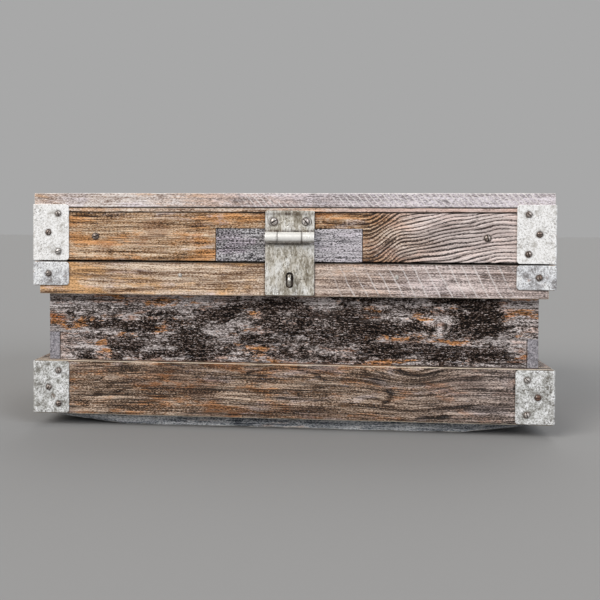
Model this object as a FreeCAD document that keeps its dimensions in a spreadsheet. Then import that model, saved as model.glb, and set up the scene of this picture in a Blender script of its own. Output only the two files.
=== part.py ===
import FreeCAD, Part
import math
import os
import re

import Sketcher
from FreeCAD import Placement, Rotation, Vector

# A lidded shipping crate of finger-jointed boards, banded by rails at its top and bottom edges, with
# sheet-steel corner brackets, a hinged hasp over a driven staple, and a lid of three planks on a frame.
# X runs along the front, -Y is the front, +Z is up. The origin is on the floor, under the middle.

doc = FreeCAD.newDocument("crate")

# ---------------------------------------------------------------------------------------------------
# Driving sizes, in millimetres: name, value, what it is
# ---------------------------------------------------------------------------------------------------
SIZES = [
    ("width", 808, "over the rails, left to right"),
    ("depth", 450, "over the rails, front to back"),
    ("base_height", 244, "underside of the rails to the rim of the base"),
    ("wall_thick", 19, "base wall boards"),
    ("finger_top", 53, "height of the uppermost finger, which belongs to a side wall"),
    ("finger", 62, "height of each finger below it"),
    ("plank_thick", 19, "bottom planks"),
    ("plank_gap", 1.5, "gap between bottom planks"),
    ("rail_thick", 18, "all rails"),
    ("bottom_rail_height", 86, "rails round the foot"),
    ("upper_rail_height", 52, "front and back rails round the rim"),
    ("side_rail_height", 39, "side rails round the rim"),
    ("side_rail_lip", 9, "what is left of a side rail outside its rebate"),
    ("skid_height", 20, "runners under the bottom planks"),
    ("skid_width", 44, "runner, front to back"),
    ("skid_inset", 28, "rail face to a runner's tip"),
    ("skid_setback", 26, "rail face to runner face"),
    ("skid_run", 110, "length of each upswept runner end"),
    ("skid_rise", 14, "how far a runner's tip is off the floor"),
    ("lid_gap", 1.5, "shadow gap between base and lid"),
    ("lid_board_thick", 18, "lid frame boards"),
    ("lid_board_height", 77, "front and back frame boards"),
    ("strip_height", 7, "packing strip between frame board and top planks"),
    ("top_thick", 23, "top planks"),
    ("tongue_thick", 7, "tongue of a top plank"),
    ("tongue_depth", 7, "tongue of a top plank"),
    ("groove_play", 0.5, "play round a tongue"),
    ("top_gap", 1, "open joint between top planks"),
    ("batten_thick", 22, "lid batten, left to right"),
    ("batten_height", 60, "lid batten, on edge"),
    ("batten_inset", 100, "side of the crate to the middle of a batten"),
    ("block_width", 228, "lock block let into the front frame board"),
    ("block_cover", 25, "frame board above the lock block"),
    ("block_depth", 12, "depth of the lock block's housing"),
    ("block_shift", 2, "lock block's middle from the crate's middle"),
    ("block_play", 0.3, "joint round the lock block"),
    ("sheet", 2, "steel of the corner brackets"),
    ("bracket_leaf", 57, "each leaf of a corner bracket"),
    ("bracket_corner", 5, "rounding of the leaves' free corners"),
    ("bottom_bracket_margin", 2, "bottom rail above and below its bracket"),
    ("upper_bracket_margin", 1, "side rail above and below its bracket"),
    ("bracket_lap", 5, "lid bracket's lap onto the top planks"),
    ("inner_screw", 42, "corner to the two screws near a leaf's free edge"),
    ("outer_screw", 26, "corner to the middle screw"),
    ("end_screw", 14.5, "bracket's top or bottom edge to the nearest screw"),
    ("screw_hole", 4.6, "clearance hole for a bracket screw"),
    ("plate", 2.5, "steel of the hasp and hinges"),
    ("hasp_width", 76, "hasp, left to right"),
    ("hasp_leaf_height", 33, "fixed leaf above the knuckle's top"),
    ("hasp_flap_height", 81, "flap below the knuckle's underside"),
    ("hasp_knuckle", 17.5, "outer diameter of the hasp's knuckle"),
    ("hasp_middle", 38, "length of the flap's own knuckle"),
    ("hasp_pin", 8, "hasp pin diameter"),
    ("hasp_lie", 0.3, "clearance between the flap and the boards"),
    ("hasp_shift", 4, "hasp's middle from the crate's middle"),
    ("hasp_drop", 39, "top of the lid's frame board to the hasp pin"),
    ("slot_width", 12, "slot in the flap"),
    ("slot_height", 25, "slot in the flap"),
    ("slot_drop", 66, "hasp pin to the middle of the slot"),
    ("knuckle_play", 0.5, "gap between neighbouring knuckles"),
    ("pin_play", 0.05, "radial play of a pin in its moving knuckle"),
    ("wire", 5, "staple wire diameter"),
    ("staple_height", 19, "staple, over the wire"),
    ("staple_reach", 20, "staple's tip from the rail's face"),
    ("staple_leg", 15, "depth that the staple is driven"),
    ("hinge_width", 76, "back hinge, left to right"),
    ("hinge_leaf", 38, "each leaf beyond the knuckle"),
    ("hinge_knuckle", 15, "outer diameter of a back hinge's knuckle"),
    ("hinge_middle", 26, "length of the base leaf's knuckle"),
    ("hinge_pin", 6, "back hinge pin diameter"),
    ("hinge_lift", 0.4, "clearance between a back hinge's knuckles and the boards"),
    ("hinge_inset", 174, "side of the crate to the middle of a hinge"),
    ("bracket_head", 10, "bracket screw head"),
    ("hasp_head", 14, "hasp screw head"),
    ("hinge_head", 9.5, "hinge screw head"),
    ("batten_head", 12, "batten screw head"),
    ("nail_head", 6.5, "nail head"),
    ("nail_shank", 3, "nail shank"),
    ("rail_nail_inset", 236, "side of the crate to the nails of a long rail"),
    ("side_nail_inset", 115, "front or back of the crate to the nails of a side rail or side wall"),
]

# Levels and lengths worked out from the driving sizes.
DERIVED = {
    "half_width": "width / 2",
    "half_depth": "depth / 2",
    "carcass_width": "width - 2 * rail_thick",
    "carcass_depth": "depth - 2 * rail_thick",
    "foot_level": "skid_height",
    "wall_level": "foot_level + plank_thick",
    "rim_level": "foot_level + base_height",
    "wall_height": "base_height - plank_thick",
    "second_finger": "rim_level - finger_top - finger",
    "third_finger": "second_finger - finger",
    "lowest_finger_height": "third_finger - wall_level",
    "lid_level": "rim_level + lid_gap",
    "strip_level": "lid_level + lid_board_height",
    "top_level": "strip_level + strip_height",
    "side_board_height": "lid_board_height + strip_height",
    "block_height": "lid_board_height - block_cover",
    "skid_length": "width - 2 * skid_inset",
    "batten_place": "half_width - batten_inset",
    "hinge_place": "half_width - hinge_inset",
    "rail_nail_place": "half_width - rail_nail_inset",
    "side_nail_place": "half_depth - side_nail_inset",
    "bottom_bracket_height": "bottom_rail_height - 2 * bottom_bracket_margin",
    "upper_bracket_height": "side_rail_height - 2 * upper_bracket_margin",
    "lid_bracket_height": "side_board_height + bracket_lap",
    "inside_depth": "depth - 2 * lid_board_thick",
    "hinge_level": "rim_level + lid_gap / 2",
    "hasp_axis": "strip_level - hasp_drop",
    "hasp_axis_out": "half_depth + hasp_lie + hasp_knuckle / 2",
    "hinge_axis_out": "half_depth + hinge_lift + hinge_knuckle / 2",
}

sheet = doc.addObject("Spreadsheet::Sheet", "Sizes")
for row, (alias, value, note) in enumerate(SIZES, start=1):
    sheet.set(f"A{row}", alias)
    sheet.set(f"B{row}", str(value))
    sheet.set(f"C{row}", note)
    sheet.setAlias(f"B{row}", alias)
ALIASES = {alias for alias, _, _ in SIZES}
doc.recompute()


def size(alias):
    """A driving size as a number, for the fasteners, which are copied shapes."""
    return float(sheet.get(alias))


def formula(text):
    """The text with derived names opened out and driving sizes pointed at the sheet."""

    def opened(match):
        word = match.group()
        if word in DERIVED:
            return "(" + formula(DERIVED[word]) + ")"
        return "Sizes." + word if word in ALIASES else word

    return re.sub(r"[a-z_]+", opened, text)


def bind(thing, **properties):
    """Binds properties to formulas of the driving sizes."""
    for name, text in properties.items():
        thing.setExpression(name, formula(text))


def place(thing, spot):
    """Binds an object's position to three formulas."""
    for axis, text in zip("xyz", spot):
        thing.setExpression(f".Placement.Base.{axis}", formula(text))


PIECES = {}


def piece(label, thing):
    """Registers an object as a sub-part under the name that its file gets."""
    thing.Label = label
    PIECES[label] = thing
    return thing


# ---------------------------------------------------------------------------------------------------
# Plain solids and booleans
# ---------------------------------------------------------------------------------------------------
def block(extent, spot, name="Block"):
    """A rectangular block: three lengths and its lowest corner."""
    box = doc.addObject("Part::Box", name)
    bind(box, Length=extent[0], Width=extent[1], Height=extent[2])
    place(box, spot)
    return box


def rod(radius, length, spot, name="Rod"):
    """A cylinder along X that starts at spot."""
    cylinder = doc.addObject("Part::Cylinder", name)
    bind(cylinder, Radius=radius, Height=length)
    cylinder.Placement = Placement(Vector(), Rotation(Vector(0, 1, 0), 90))
    place(cylinder, spot)
    return cylinder


def joined(solids, name="Joined"):
    fuse = doc.addObject("Part::MultiFuse", name)
    fuse.Shapes = solids
    fuse.Refine = True
    return fuse


def cut(base, tools, name="Cut"):
    """The base with every tool taken away."""
    tool = tools[0] if len(tools) == 1 else joined(tools, name + "Tools")
    result = doc.addObject("Part::Cut", name)
    result.Base = base
    result.Tool = tool
    return result


def mirrored(source, across, name="Mirrored"):
    """A mirror image across the crate's middle: "X" swaps left and right, "Y" front and back."""
    mirror = doc.addObject("Part::Mirroring", name)
    mirror.Source = source
    mirror.Normal = Vector(1, 0, 0) if across == "X" else Vector(0, 1, 0)
    return mirror


# ---------------------------------------------------------------------------------------------------
# Sketches whose every point is held by a formula
# ---------------------------------------------------------------------------------------------------
HORIZONTAL_AXIS, VERTICAL_AXIS = -1, -2
START, END, CENTRE = 1, 2, 3
ROOT = (-1, 1)


def hold(sketch, geometry, point, x, y):
    """Holds a sketch point at two formulas. A zero puts it on an axis."""
    for kind, text, axis in (("DistanceX", x, VERTICAL_AXIS), ("DistanceY", y, HORIZONTAL_AXIS)):
        if text == "0":
            sketch.addConstraint(Sketcher.Constraint("PointOnObject", geometry, point, axis))
            continue
        spot = sketch.getPoint(geometry, point)
        now = spot.x if kind == "DistanceX" else spot.y
        row = sketch.addConstraint(Sketcher.Constraint(kind, *ROOT, geometry, point, now))
        sketch.setExpression(f"Constraints[{row}]", formula(text))


def number(text):
    """A formula of sizes as a number, read back from a scratch cell of the sheet's document."""
    scratch.setExpression("Probe", formula(text))
    scratch.recompute()
    return float(scratch.Probe)


scratch = doc.addObject("App::FeaturePython", "Scratch")
scratch.addProperty("App::PropertyFloat", "Probe")


def new_sketch(body, plane, name):
    """A sketch on one of the body's own origin planes."""
    sketch = body.newObject("Sketcher::SketchObject", name)
    support = [f for f in body.Origin.OriginFeatures if f.Role == plane][0]
    sketch.AttachmentSupport = [(support, "")]
    sketch.MapMode = "FlatFace"
    return sketch


def outline(body, plane, points, name="Outline"):
    """A closed polygon through points that are pairs of formulas."""
    sketch = new_sketch(body, plane, name)
    spots = [Vector(number(x), number(y), 0) for x, y in points]
    for here, there in zip(spots, spots[1:] + spots[:1]):
        sketch.addGeometry(Part.LineSegment(here, there), False)
    count = len(points)
    for edge in range(count):
        following = (edge + 1) % count
        sketch.addConstraint(Sketcher.Constraint("Coincident", edge, END, following, START))
    for edge, (x, y) in enumerate(points):
        hold(sketch, edge, START, x, y)
    return sketch


def circles(body, plane, radius, centres, name="Holes"):
    """Circles of one radius about centres that are pairs of formulas."""
    sketch = new_sketch(body, plane, name)
    for x, y in centres:
        ring = Part.Circle(Vector(number(x), number(y), 0), Vector(0, 0, 1), number(radius))
        index = sketch.addGeometry(ring, False)
        hold(sketch, index, CENTRE, x, y)
        row = sketch.addConstraint(Sketcher.Constraint("Radius", index, number(radius)))
        sketch.setExpression(f"Constraints[{row}]", formula(radius))
    return sketch


def new_body(name):
    return doc.addObject("PartDesign::Body", name)


def pad(body, sketch, length, middle=False):
    """Raises a sketch by a formula's length, along its normal or to both sides."""
    raised = body.newObject("PartDesign::Pad", "Pad")
    raised.Profile = sketch
    raised.Midplane = middle
    bind(raised, Length=length)
    sketch.Visibility = False
    doc.recompute()
    return raised


def pocket(body, sketch, backwards=False):
    """Cuts a sketch right through the body on one side of its plane."""
    before = body.Shape.Volume
    hollow = body.newObject("PartDesign::Pocket", "Pocket")
    hollow.Profile = sketch
    hollow.Type = "ThroughAll"
    hollow.Reversed = backwards
    doc.recompute()
    assert body.Shape.Volume < before, f"{body.Name}: the pocket cut nothing"
    return hollow


def rounded(body, feature, radius, wanted):
    """Fillets the edges of a feature that a test picks out."""
    names = [f"Edge{i}" for i, edge in enumerate(feature.Shape.Edges, start=1) if wanted(edge)]
    fillet = body.newObject("PartDesign::Fillet", "Fillet")
    fillet.Base = (feature, names)
    bind(fillet, Radius=radius)
    doc.recompute()
    return fillet


# ---------------------------------------------------------------------------------------------------
# Base: four finger-jointed walls
# ---------------------------------------------------------------------------------------------------
def corner_notches(x, y, levels):
    """Notches for the neighbour's fingers at both ends of a wall; levels are (bottom, height) pairs."""
    return [
        block(("wall_thick", "wall_thick", height), (at_x, at_y, bottom), "Notch")
        for at_x in x
        for at_y in y
        for bottom, height in levels
    ]


def long_wall():
    """Front wall: the side walls' fingers pass through it at the rim and at the third finger."""
    board = block(
        ("carcass_width", "wall_thick", "wall_height"),
        ("-carcass_width / 2", "-carcass_depth / 2", "wall_level"),
        "FrontBoard",
    )
    levels = [("rim_level - finger_top", "finger_top"), ("third_finger", "finger")]
    ends = ["-carcass_width / 2", "carcass_width / 2 - wall_thick"]
    return cut(board, corner_notches(ends, ["-carcass_depth / 2"], levels), "FrontWall")


def side_wall():
    """Left wall: the long walls' fingers pass through it at the second finger and at the foot."""
    board = block(
        ("wall_thick", "carcass_depth", "wall_height"),
        ("-carcass_width / 2", "-carcass_depth / 2", "wall_level"),
        "LeftBoard",
    )
    levels = [("second_finger", "finger"), ("wall_level", "lowest_finger_height")]
    ends = ["-carcass_depth / 2", "carcass_depth / 2 - wall_thick"]
    return cut(board, corner_notches(["-carcass_width / 2"], ends, levels), "LeftWall")


front_wall = piece("front_wall", long_wall())
piece("back_wall", mirrored(front_wall, "Y", "BackWall"))
left_wall = piece("left_wall", side_wall())
piece("right_wall", mirrored(left_wall, "X", "RightWall"))

# ---------------------------------------------------------------------------------------------------
# Base: bottom planks, laid front to back, and the two runners that carry them
# ---------------------------------------------------------------------------------------------------
PLANKS = 4
PLANK_WIDTH = f"((carcass_width - {PLANKS - 1} * plank_gap) / {PLANKS})"
for index in range(PLANKS):
    plank = block(
        (PLANK_WIDTH, "carcass_depth", "plank_thick"),
        (
            f"-carcass_width / 2 + {index} * ({PLANK_WIDTH} + plank_gap)",
            "-carcass_depth / 2",
            "foot_level",
        ),
        "BottomPlank",
    )
    piece(f"bottom_plank_{index + 1}", plank)


def runner():
    """Front runner: flat underneath, each end sweeping up along an arc tangent to the flat."""
    body = new_body("FrontRunner")
    sketch = new_sketch(body, "XZ_Plane", "RunnerSide")
    half, run, rise = number("skid_length / 2"), number("skid_run"), number("skid_rise")
    height = number("skid_height")
    radius = (run**2 + rise**2) / (2 * rise)
    radius_text = "(skid_run * skid_run + skid_rise * skid_rise) / (2 * skid_rise)"
    sweep = math.asin(run / radius)
    flat = half - run
    straight = [
        (Vector(-flat, 0, 0), Vector(flat, 0, 0)),
        (Vector(half, rise, 0), Vector(half, height, 0)),
        (Vector(half, height, 0), Vector(-half, height, 0)),
        (Vector(-half, height, 0), Vector(-half, rise, 0)),
    ]
    bottom, right, top, left = [sketch.addGeometry(Part.LineSegment(*ends), False) for ends in straight]
    down = -math.pi / 2
    nose = Part.ArcOfCircle(
        Part.Circle(Vector(flat, radius, 0), Vector(0, 0, 1), radius), down, down + sweep
    )
    tail = Part.ArcOfCircle(
        Part.Circle(Vector(-flat, radius, 0), Vector(0, 0, 1), radius), down - sweep, down
    )
    nose, tail = sketch.addGeometry(nose, False), sketch.addGeometry(tail, False)
    for one, its_end, other, other_end in (
        (bottom, END, nose, START),
        (nose, END, right, START),
        (right, END, top, START),
        (top, END, left, START),
        (left, END, tail, START),
        (tail, END, bottom, START),
    ):
        sketch.addConstraint(Sketcher.Constraint("Coincident", one, its_end, other, other_end))
    hold(sketch, bottom, START, "-(skid_length / 2 - skid_run)", "0")
    hold(sketch, bottom, END, "skid_length / 2 - skid_run", "0")
    hold(sketch, nose, CENTRE, "skid_length / 2 - skid_run", radius_text)
    hold(sketch, tail, CENTRE, "-(skid_length / 2 - skid_run)", radius_text)
    hold(sketch, top, START, "skid_length / 2", "skid_height")
    hold(sketch, top, END, "-skid_length / 2", "skid_height")
    sketch.addConstraint(Sketcher.Constraint("Vertical", right))
    sketch.addConstraint(Sketcher.Constraint("Vertical", left))
    pad(body, sketch, "skid_width", middle=True)
    place(body, ("0", "-half_depth + skid_setback + skid_width / 2", "0"))
    return body


front_runner = piece("skid_front", runner())
piece("skid_back", mirrored(front_runner, "Y", "BackRunner"))

# ---------------------------------------------------------------------------------------------------
# Base: rails round the foot and round the rim
# ---------------------------------------------------------------------------------------------------
bottom_front = block(
    ("width", "rail_thick", "bottom_rail_height"),
    ("-half_width", "-half_depth", "foot_level"),
    "BottomRailFront",
)
piece("bottom_rail_front", bottom_front)
piece("bottom_rail_back", mirrored(bottom_front, "Y", "BottomRailBack"))
bottom_left = block(
    ("rail_thick", "carcass_depth", "bottom_rail_height"),
    ("-half_width", "-carcass_depth / 2", "foot_level"),
    "BottomRailLeft",
)
piece("bottom_rail_left", bottom_left)
piece("bottom_rail_right", mirrored(bottom_left, "X", "BottomRailRight"))

upper_front = block(
    ("width - 2 * side_rail_lip", "rail_thick", "upper_rail_height"),
    ("-half_width + side_rail_lip", "-half_depth", "rim_level - upper_rail_height"),
    "UpperRailFront",
)
piece("upper_rail_front", upper_front)
piece("upper_rail_back", mirrored(upper_front, "Y", "UpperRailBack"))


def side_rail():
    """Left upper rail: rebated at both ends, so that its lip laps the long rails' ends."""
    bar = block(
        ("rail_thick", "depth", "side_rail_height"),
        ("-half_width", "-half_depth", "rim_level - side_rail_height"),
        "SideBar",
    )
    rebates = [
        block(
            ("rail_thick - side_rail_lip", "rail_thick", "side_rail_height"),
            ("-half_width + side_rail_lip", at_y, "rim_level - side_rail_height"),
            "Rebate",
        )
        for at_y in ("-half_depth", "half_depth - rail_thick")
    ]
    return cut(bar, rebates, "UpperRailLeft")


upper_left = piece("upper_rail_left", side_rail())
piece("upper_rail_right", mirrored(upper_left, "X", "UpperRailRight"))


# ---------------------------------------------------------------------------------------------------
# Lid: frame boards, lock block, packing strips, tongued planks and battens
# ---------------------------------------------------------------------------------------------------
def front_board():
    """Front frame board, housed from its lower edge upwards to take the lock block."""
    board = block(
        ("width", "lid_board_thick", "lid_board_height"),
        ("-half_width", "-half_depth", "lid_level"),
        "LidFrontBoard",
    )
    housing = block(
        ("block_width + 2 * block_play", "block_depth + block_play", "block_height + block_play"),
        ("block_shift - block_width / 2 - block_play", "-half_depth", "lid_level"),
        "Housing",
    )
    return cut(board, [housing], "LidFront")


piece("lid_front_board", front_board())
piece(
    "lock_block",
    block(
        ("block_width", "block_depth", "block_height"),
        ("block_shift - block_width / 2", "-half_depth", "lid_level"),
        "LockBlock",
    ),
)
piece(
    "lid_back_board",
    block(
        ("width", "lid_board_thick", "lid_board_height"),
        ("-half_width", "half_depth - lid_board_thick", "lid_level"),
        "LidBackBoard",
    ),
)
lid_left = block(
    ("lid_board_thick", "inside_depth", "side_board_height"),
    ("-half_width", "-inside_depth / 2", "lid_level"),
    "LidLeftBoard",
)
piece("lid_left_board", lid_left)
piece("lid_right_board", mirrored(lid_left, "X", "LidRightBoard"))
strip = block(
    ("width", "lid_board_thick", "strip_height"),
    ("-half_width", "-half_depth", "strip_level"),
    "StripFront",
)
piece("lid_strip_front", strip)
piece("lid_strip_back", mirrored(strip, "Y", "StripBack"))
batten = block(
    ("batten_thick", "inside_depth", "batten_height"),
    ("-batten_place - batten_thick / 2", "-inside_depth / 2", "top_level - batten_height"),
    "BattenLeft",
)
piece("lid_batten_left", batten)
piece("lid_batten_right", mirrored(batten, "X", "BattenRight"))

TOP_PLANKS = ("front", "middle", "back")
TOP_COVER = f"((depth - {len(TOP_PLANKS) - 1} * top_gap) / {len(TOP_PLANKS)})"


def top_plank(name, tongued, grooved):
    """A top plank in section, front edge at the left: an optional tongue there, a groove at the back."""
    low, high = "(top_thick - tongue_thick) / 2", "(top_thick + tongue_thick) / 2"
    tip = "-(tongue_depth + top_gap - groove_play)"
    points = [("0", "0"), (TOP_COVER, "0")]
    if grooved:
        floor_of_groove = f"{TOP_COVER} - tongue_depth"
        points += [
            (TOP_COVER, f"{low} - groove_play"),
            (floor_of_groove, f"{low} - groove_play"),
            (floor_of_groove, f"{high} + groove_play"),
            (TOP_COVER, f"{high} + groove_play"),
        ]
    points += [(TOP_COVER, "top_thick"), ("0", "top_thick")]
    if tongued:
        points += [("0", high), (tip, high), (tip, low), ("0", low)]
    body = new_body("TopPlank" + name.capitalize())
    pad(body, outline(body, "YZ_Plane", points, "PlankSection"), "width", middle=True)
    return body


for index, name in enumerate(TOP_PLANKS):
    plank = top_plank(name, tongued=index > 0, grooved=index < len(TOP_PLANKS) - 1)
    place(plank, ("0", f"-half_depth + {index} * ({TOP_COVER} + top_gap)", "top_level"))
    piece(f"lid_plank_{name}", plank)


# ---------------------------------------------------------------------------------------------------
# Corner brackets: one folded strip per corner, made for the front left and mirrored to the others
# ---------------------------------------------------------------------------------------------------
def bracket(name, height, level, screws):
    """An angle of sheet steel round the corner at the body's own origin, holed for its screws."""
    body = new_body(name)
    profile = outline(
        body,
        "XY_Plane",
        [
            ("0", "0"),
            ("bracket_leaf - sheet", "0"),
            ("bracket_leaf - sheet", "-sheet"),
            ("-sheet", "-sheet"),
            ("-sheet", "bracket_leaf - sheet"),
            ("0", "bracket_leaf - sheet"),
        ],
        "Angle",
    )
    folded = pad(body, profile, height)
    thin, reach, tall = number("sheet"), number("bracket_leaf - sheet"), number(height)

    def on_fold(edge):
        middle = edge.CenterOfMass
        return abs(middle.x + thin) < 0.01 and abs(middle.y + thin) < 0.01

    def free_corner(edge):
        middle = edge.CenterOfMass
        at_end = abs(max(middle.x, middle.y) - reach) < 0.01
        return at_end and min(abs(middle.z), abs(middle.z - tall)) < 0.01 and edge.Length < thin + 0.01

    folded = rounded(body, folded, "sheet", on_fold)
    rounded(body, folded, "bracket_corner", free_corner)
    centres = [(f"{across} - sheet", up) for across, up in screws]
    pocket(body, circles(body, "XZ_Plane", "screw_hole / 2", centres, "FrontHoles"), backwards=True)
    pocket(body, circles(body, "YZ_Plane", "screw_hole / 2", centres, "SideHoles"))
    place(body, ("-half_width", "-half_depth", level))
    return body


def three_screws(height):
    """Two screws near the free edge and one between them, nearer the corner."""
    return [
        ("inner_screw", "end_screw"),
        ("outer_screw", f"{height} / 2"),
        ("inner_screw", f"{height} - end_screw"),
    ]


BRACKETS = {
    "bottom_bracket": (
        "bottom_bracket_height",
        "foot_level + bottom_bracket_margin",
        three_screws("bottom_bracket_height"),
    ),
    "upper_bracket": (
        "upper_bracket_height",
        "rim_level - side_rail_height + upper_bracket_margin",
        [("outer_screw", "upper_bracket_height / 2")],
    ),
    "lid_bracket": ("lid_bracket_height", "lid_level", three_screws("lid_bracket_height")),
}
for family, (height, level, screws) in BRACKETS.items():
    master = piece(f"{family}_front_left", bracket("Master" + family.title(), height, level, screws))
    piece(f"{family}_front_right", mirrored(master, "X"))
    back = piece(f"{family}_back_left", mirrored(master, "Y"))
    piece(f"{family}_back_right", mirrored(back, "X"))


# ---------------------------------------------------------------------------------------------------
# Rolled leaves: a flat plate whose end curls round the pin, notched for its partner's knuckles
# ---------------------------------------------------------------------------------------------------
def rolled_leaf(name, plate, knuckles, notches, bore):
    """A plate joined to its knuckles, with the partner's room and the pin's bore taken out."""
    return cut(joined([plate] + knuckles, name + "Blank"), notches + [bore], name)


def hasp_leaf():
    """Fixed leaf: two outer knuckles on a plate that is screwed to the lid's front."""
    plate = block(
        ("hasp_width", "plate", "hasp_leaf_height + hasp_knuckle / 2"),
        ("hasp_shift - hasp_width / 2", "-half_depth - plate", "hasp_axis"),
        "LeafPlate",
    )
    outer = "(hasp_width - hasp_middle) / 2"
    knuckles = [
        rod("hasp_knuckle / 2", outer, (at_x, "-hasp_axis_out", "hasp_axis"), "OuterKnuckle")
        for at_x in ("hasp_shift - hasp_width / 2", "hasp_shift + hasp_middle / 2")
    ]
    notch = block(
        ("hasp_middle", "hasp_knuckle + plate", "hasp_knuckle + 2 * knuckle_play"),
        (
            "hasp_shift - hasp_middle / 2",
            "-half_depth - hasp_knuckle - hasp_lie",
            "hasp_axis - hasp_knuckle / 2 - knuckle_play",
        ),
        "LeafNotch",
    )
    bore = rod(
        "hasp_pin / 2",
        "hasp_width",
        ("hasp_shift - hasp_width / 2", "-hasp_axis_out", "hasp_axis"),
        "LeafBore",
    )
    return rolled_leaf("HaspLeaf", plate, knuckles, [notch], bore)


def hasp_flap():
    """Swinging flap: one middle knuckle, and a plate slotted to pass over the staple."""
    drop = "hasp_flap_height + hasp_knuckle / 2"
    plate = block(
        ("hasp_width", "plate", drop),
        ("hasp_shift - hasp_width / 2", "-half_depth - hasp_lie - plate", f"hasp_axis - ({drop})"),
        "FlapPlate",
    )
    knuckle = rod(
        "hasp_knuckle / 2",
        "hasp_middle - 2 * knuckle_play",
        ("hasp_shift - hasp_middle / 2 + knuckle_play", "-hasp_axis_out", "hasp_axis"),
        "MiddleKnuckle",
    )
    notches = [
        block(
            (
                "(hasp_width - hasp_middle) / 2 + knuckle_play",
                "hasp_knuckle",
                "hasp_knuckle / 2 + knuckle_play",
            ),
            (at_x, "-half_depth - hasp_knuckle", "hasp_axis - hasp_knuckle / 2 - knuckle_play"),
            "FlapNotch",
        )
        for at_x in ("hasp_shift - hasp_width / 2", "hasp_shift + hasp_middle / 2 - knuckle_play")
    ]
    bore = rod(
        "hasp_pin / 2 + pin_play",
        "hasp_width",
        ("hasp_shift - hasp_width / 2", "-hasp_axis_out", "hasp_axis"),
        "FlapBore",
    )
    blank = rolled_leaf("FlapBlank", plate, [knuckle], notches, bore)
    slot_middle = block(
        ("slot_width", "3 * plate", "slot_height - slot_width"),
        (
            "hasp_shift - slot_width / 2",
            "-half_depth - 2 * plate",
            "hasp_axis - slot_drop - (slot_height - slot_width) / 2",
        ),
        "SlotMiddle",
    )
    ends = []
    for side in ("-", "+"):
        end = doc.addObject("Part::Cylinder", "SlotEnd")
        bind(end, Radius="slot_width / 2", Height="3 * plate")
        end.Placement = Placement(Vector(), Rotation(Vector(1, 0, 0), -90))
        level = f"hasp_axis - slot_drop {side} (slot_height - slot_width) / 2"
        place(end, ("hasp_shift", "-half_depth - 2 * plate", level))
        ends.append(end)
    return cut(blank, [slot_middle] + ends, "HaspFlap")


def hinge_leaf(upwards):
    """One leaf of the left back hinge. The base leaf has the middle knuckle, the lid leaf the outer two."""
    start = "-hinge_place - hinge_width / 2"
    outer = "(hinge_width - hinge_middle) / 2"
    reach = "hinge_leaf + hinge_knuckle / 2"
    name = "LidHingeLeaf" if upwards else "BaseHingeLeaf"
    plate = block(
        ("hinge_width", "plate", reach),
        (start, "half_depth", "hinge_level" if upwards else f"hinge_level - ({reach})"),
        name + "Plate",
    )
    outer_spans = [(start, outer), ("-hinge_place + hinge_middle / 2", outer)]
    middle_span = [("-hinge_place - hinge_middle / 2", "hinge_middle")]
    own, others = (outer_spans, middle_span) if upwards else (middle_span, outer_spans)
    knuckles = [
        rod(
            "hinge_knuckle / 2",
            f"{length} - 2 * knuckle_play",
            (f"{at_x} + knuckle_play", "hinge_axis_out", "hinge_level"),
            name + "Knuckle",
        )
        for at_x, length in own
    ]
    notches = [
        block(
            (
                f"{length} + 2 * knuckle_play",
                "hinge_knuckle + plate",
                "hinge_knuckle / 2 + knuckle_play",
            ),
            (
                f"{at_x} - knuckle_play",
                "half_depth",
                "hinge_level" if upwards else "hinge_level - hinge_knuckle / 2 - knuckle_play",
            ),
            name + "Notch",
        )
        for at_x, length in others
    ]
    own_bore = "hinge_pin / 2 + pin_play" if upwards else "hinge_pin / 2"
    bore = rod(own_bore, "hinge_width", (start, "hinge_axis_out", "hinge_level"), name + "Bore")
    return rolled_leaf(name, plate, knuckles, notches, bore)


piece("hasp_leaf", hasp_leaf())
piece("hasp_flap", hasp_flap())
piece(
    "hasp_pin",
    rod(
        "hasp_pin / 2",
        "hasp_width",
        ("hasp_shift - hasp_width / 2", "-hasp_axis_out", "hasp_axis"),
        "HaspPin",
    ),
)
base_leaf = piece("hinge_base_leaf_left", hinge_leaf(upwards=False))
piece("hinge_base_leaf_right", mirrored(base_leaf, "X"))
lid_leaf = piece("hinge_lid_leaf_left", hinge_leaf(upwards=True))
piece("hinge_lid_leaf_right", mirrored(lid_leaf, "X"))
left_pin = rod(
    "hinge_pin / 2",
    "hinge_width",
    ("-hinge_place - hinge_width / 2", "hinge_axis_out", "hinge_level"),
    "LeftHingePin",
)
both_pins = doc.addObject("Part::Compound", "HingePins")
both_pins.Links = [left_pin, mirrored(left_pin, "X")]
piece("hinge_pins", both_pins)


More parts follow.
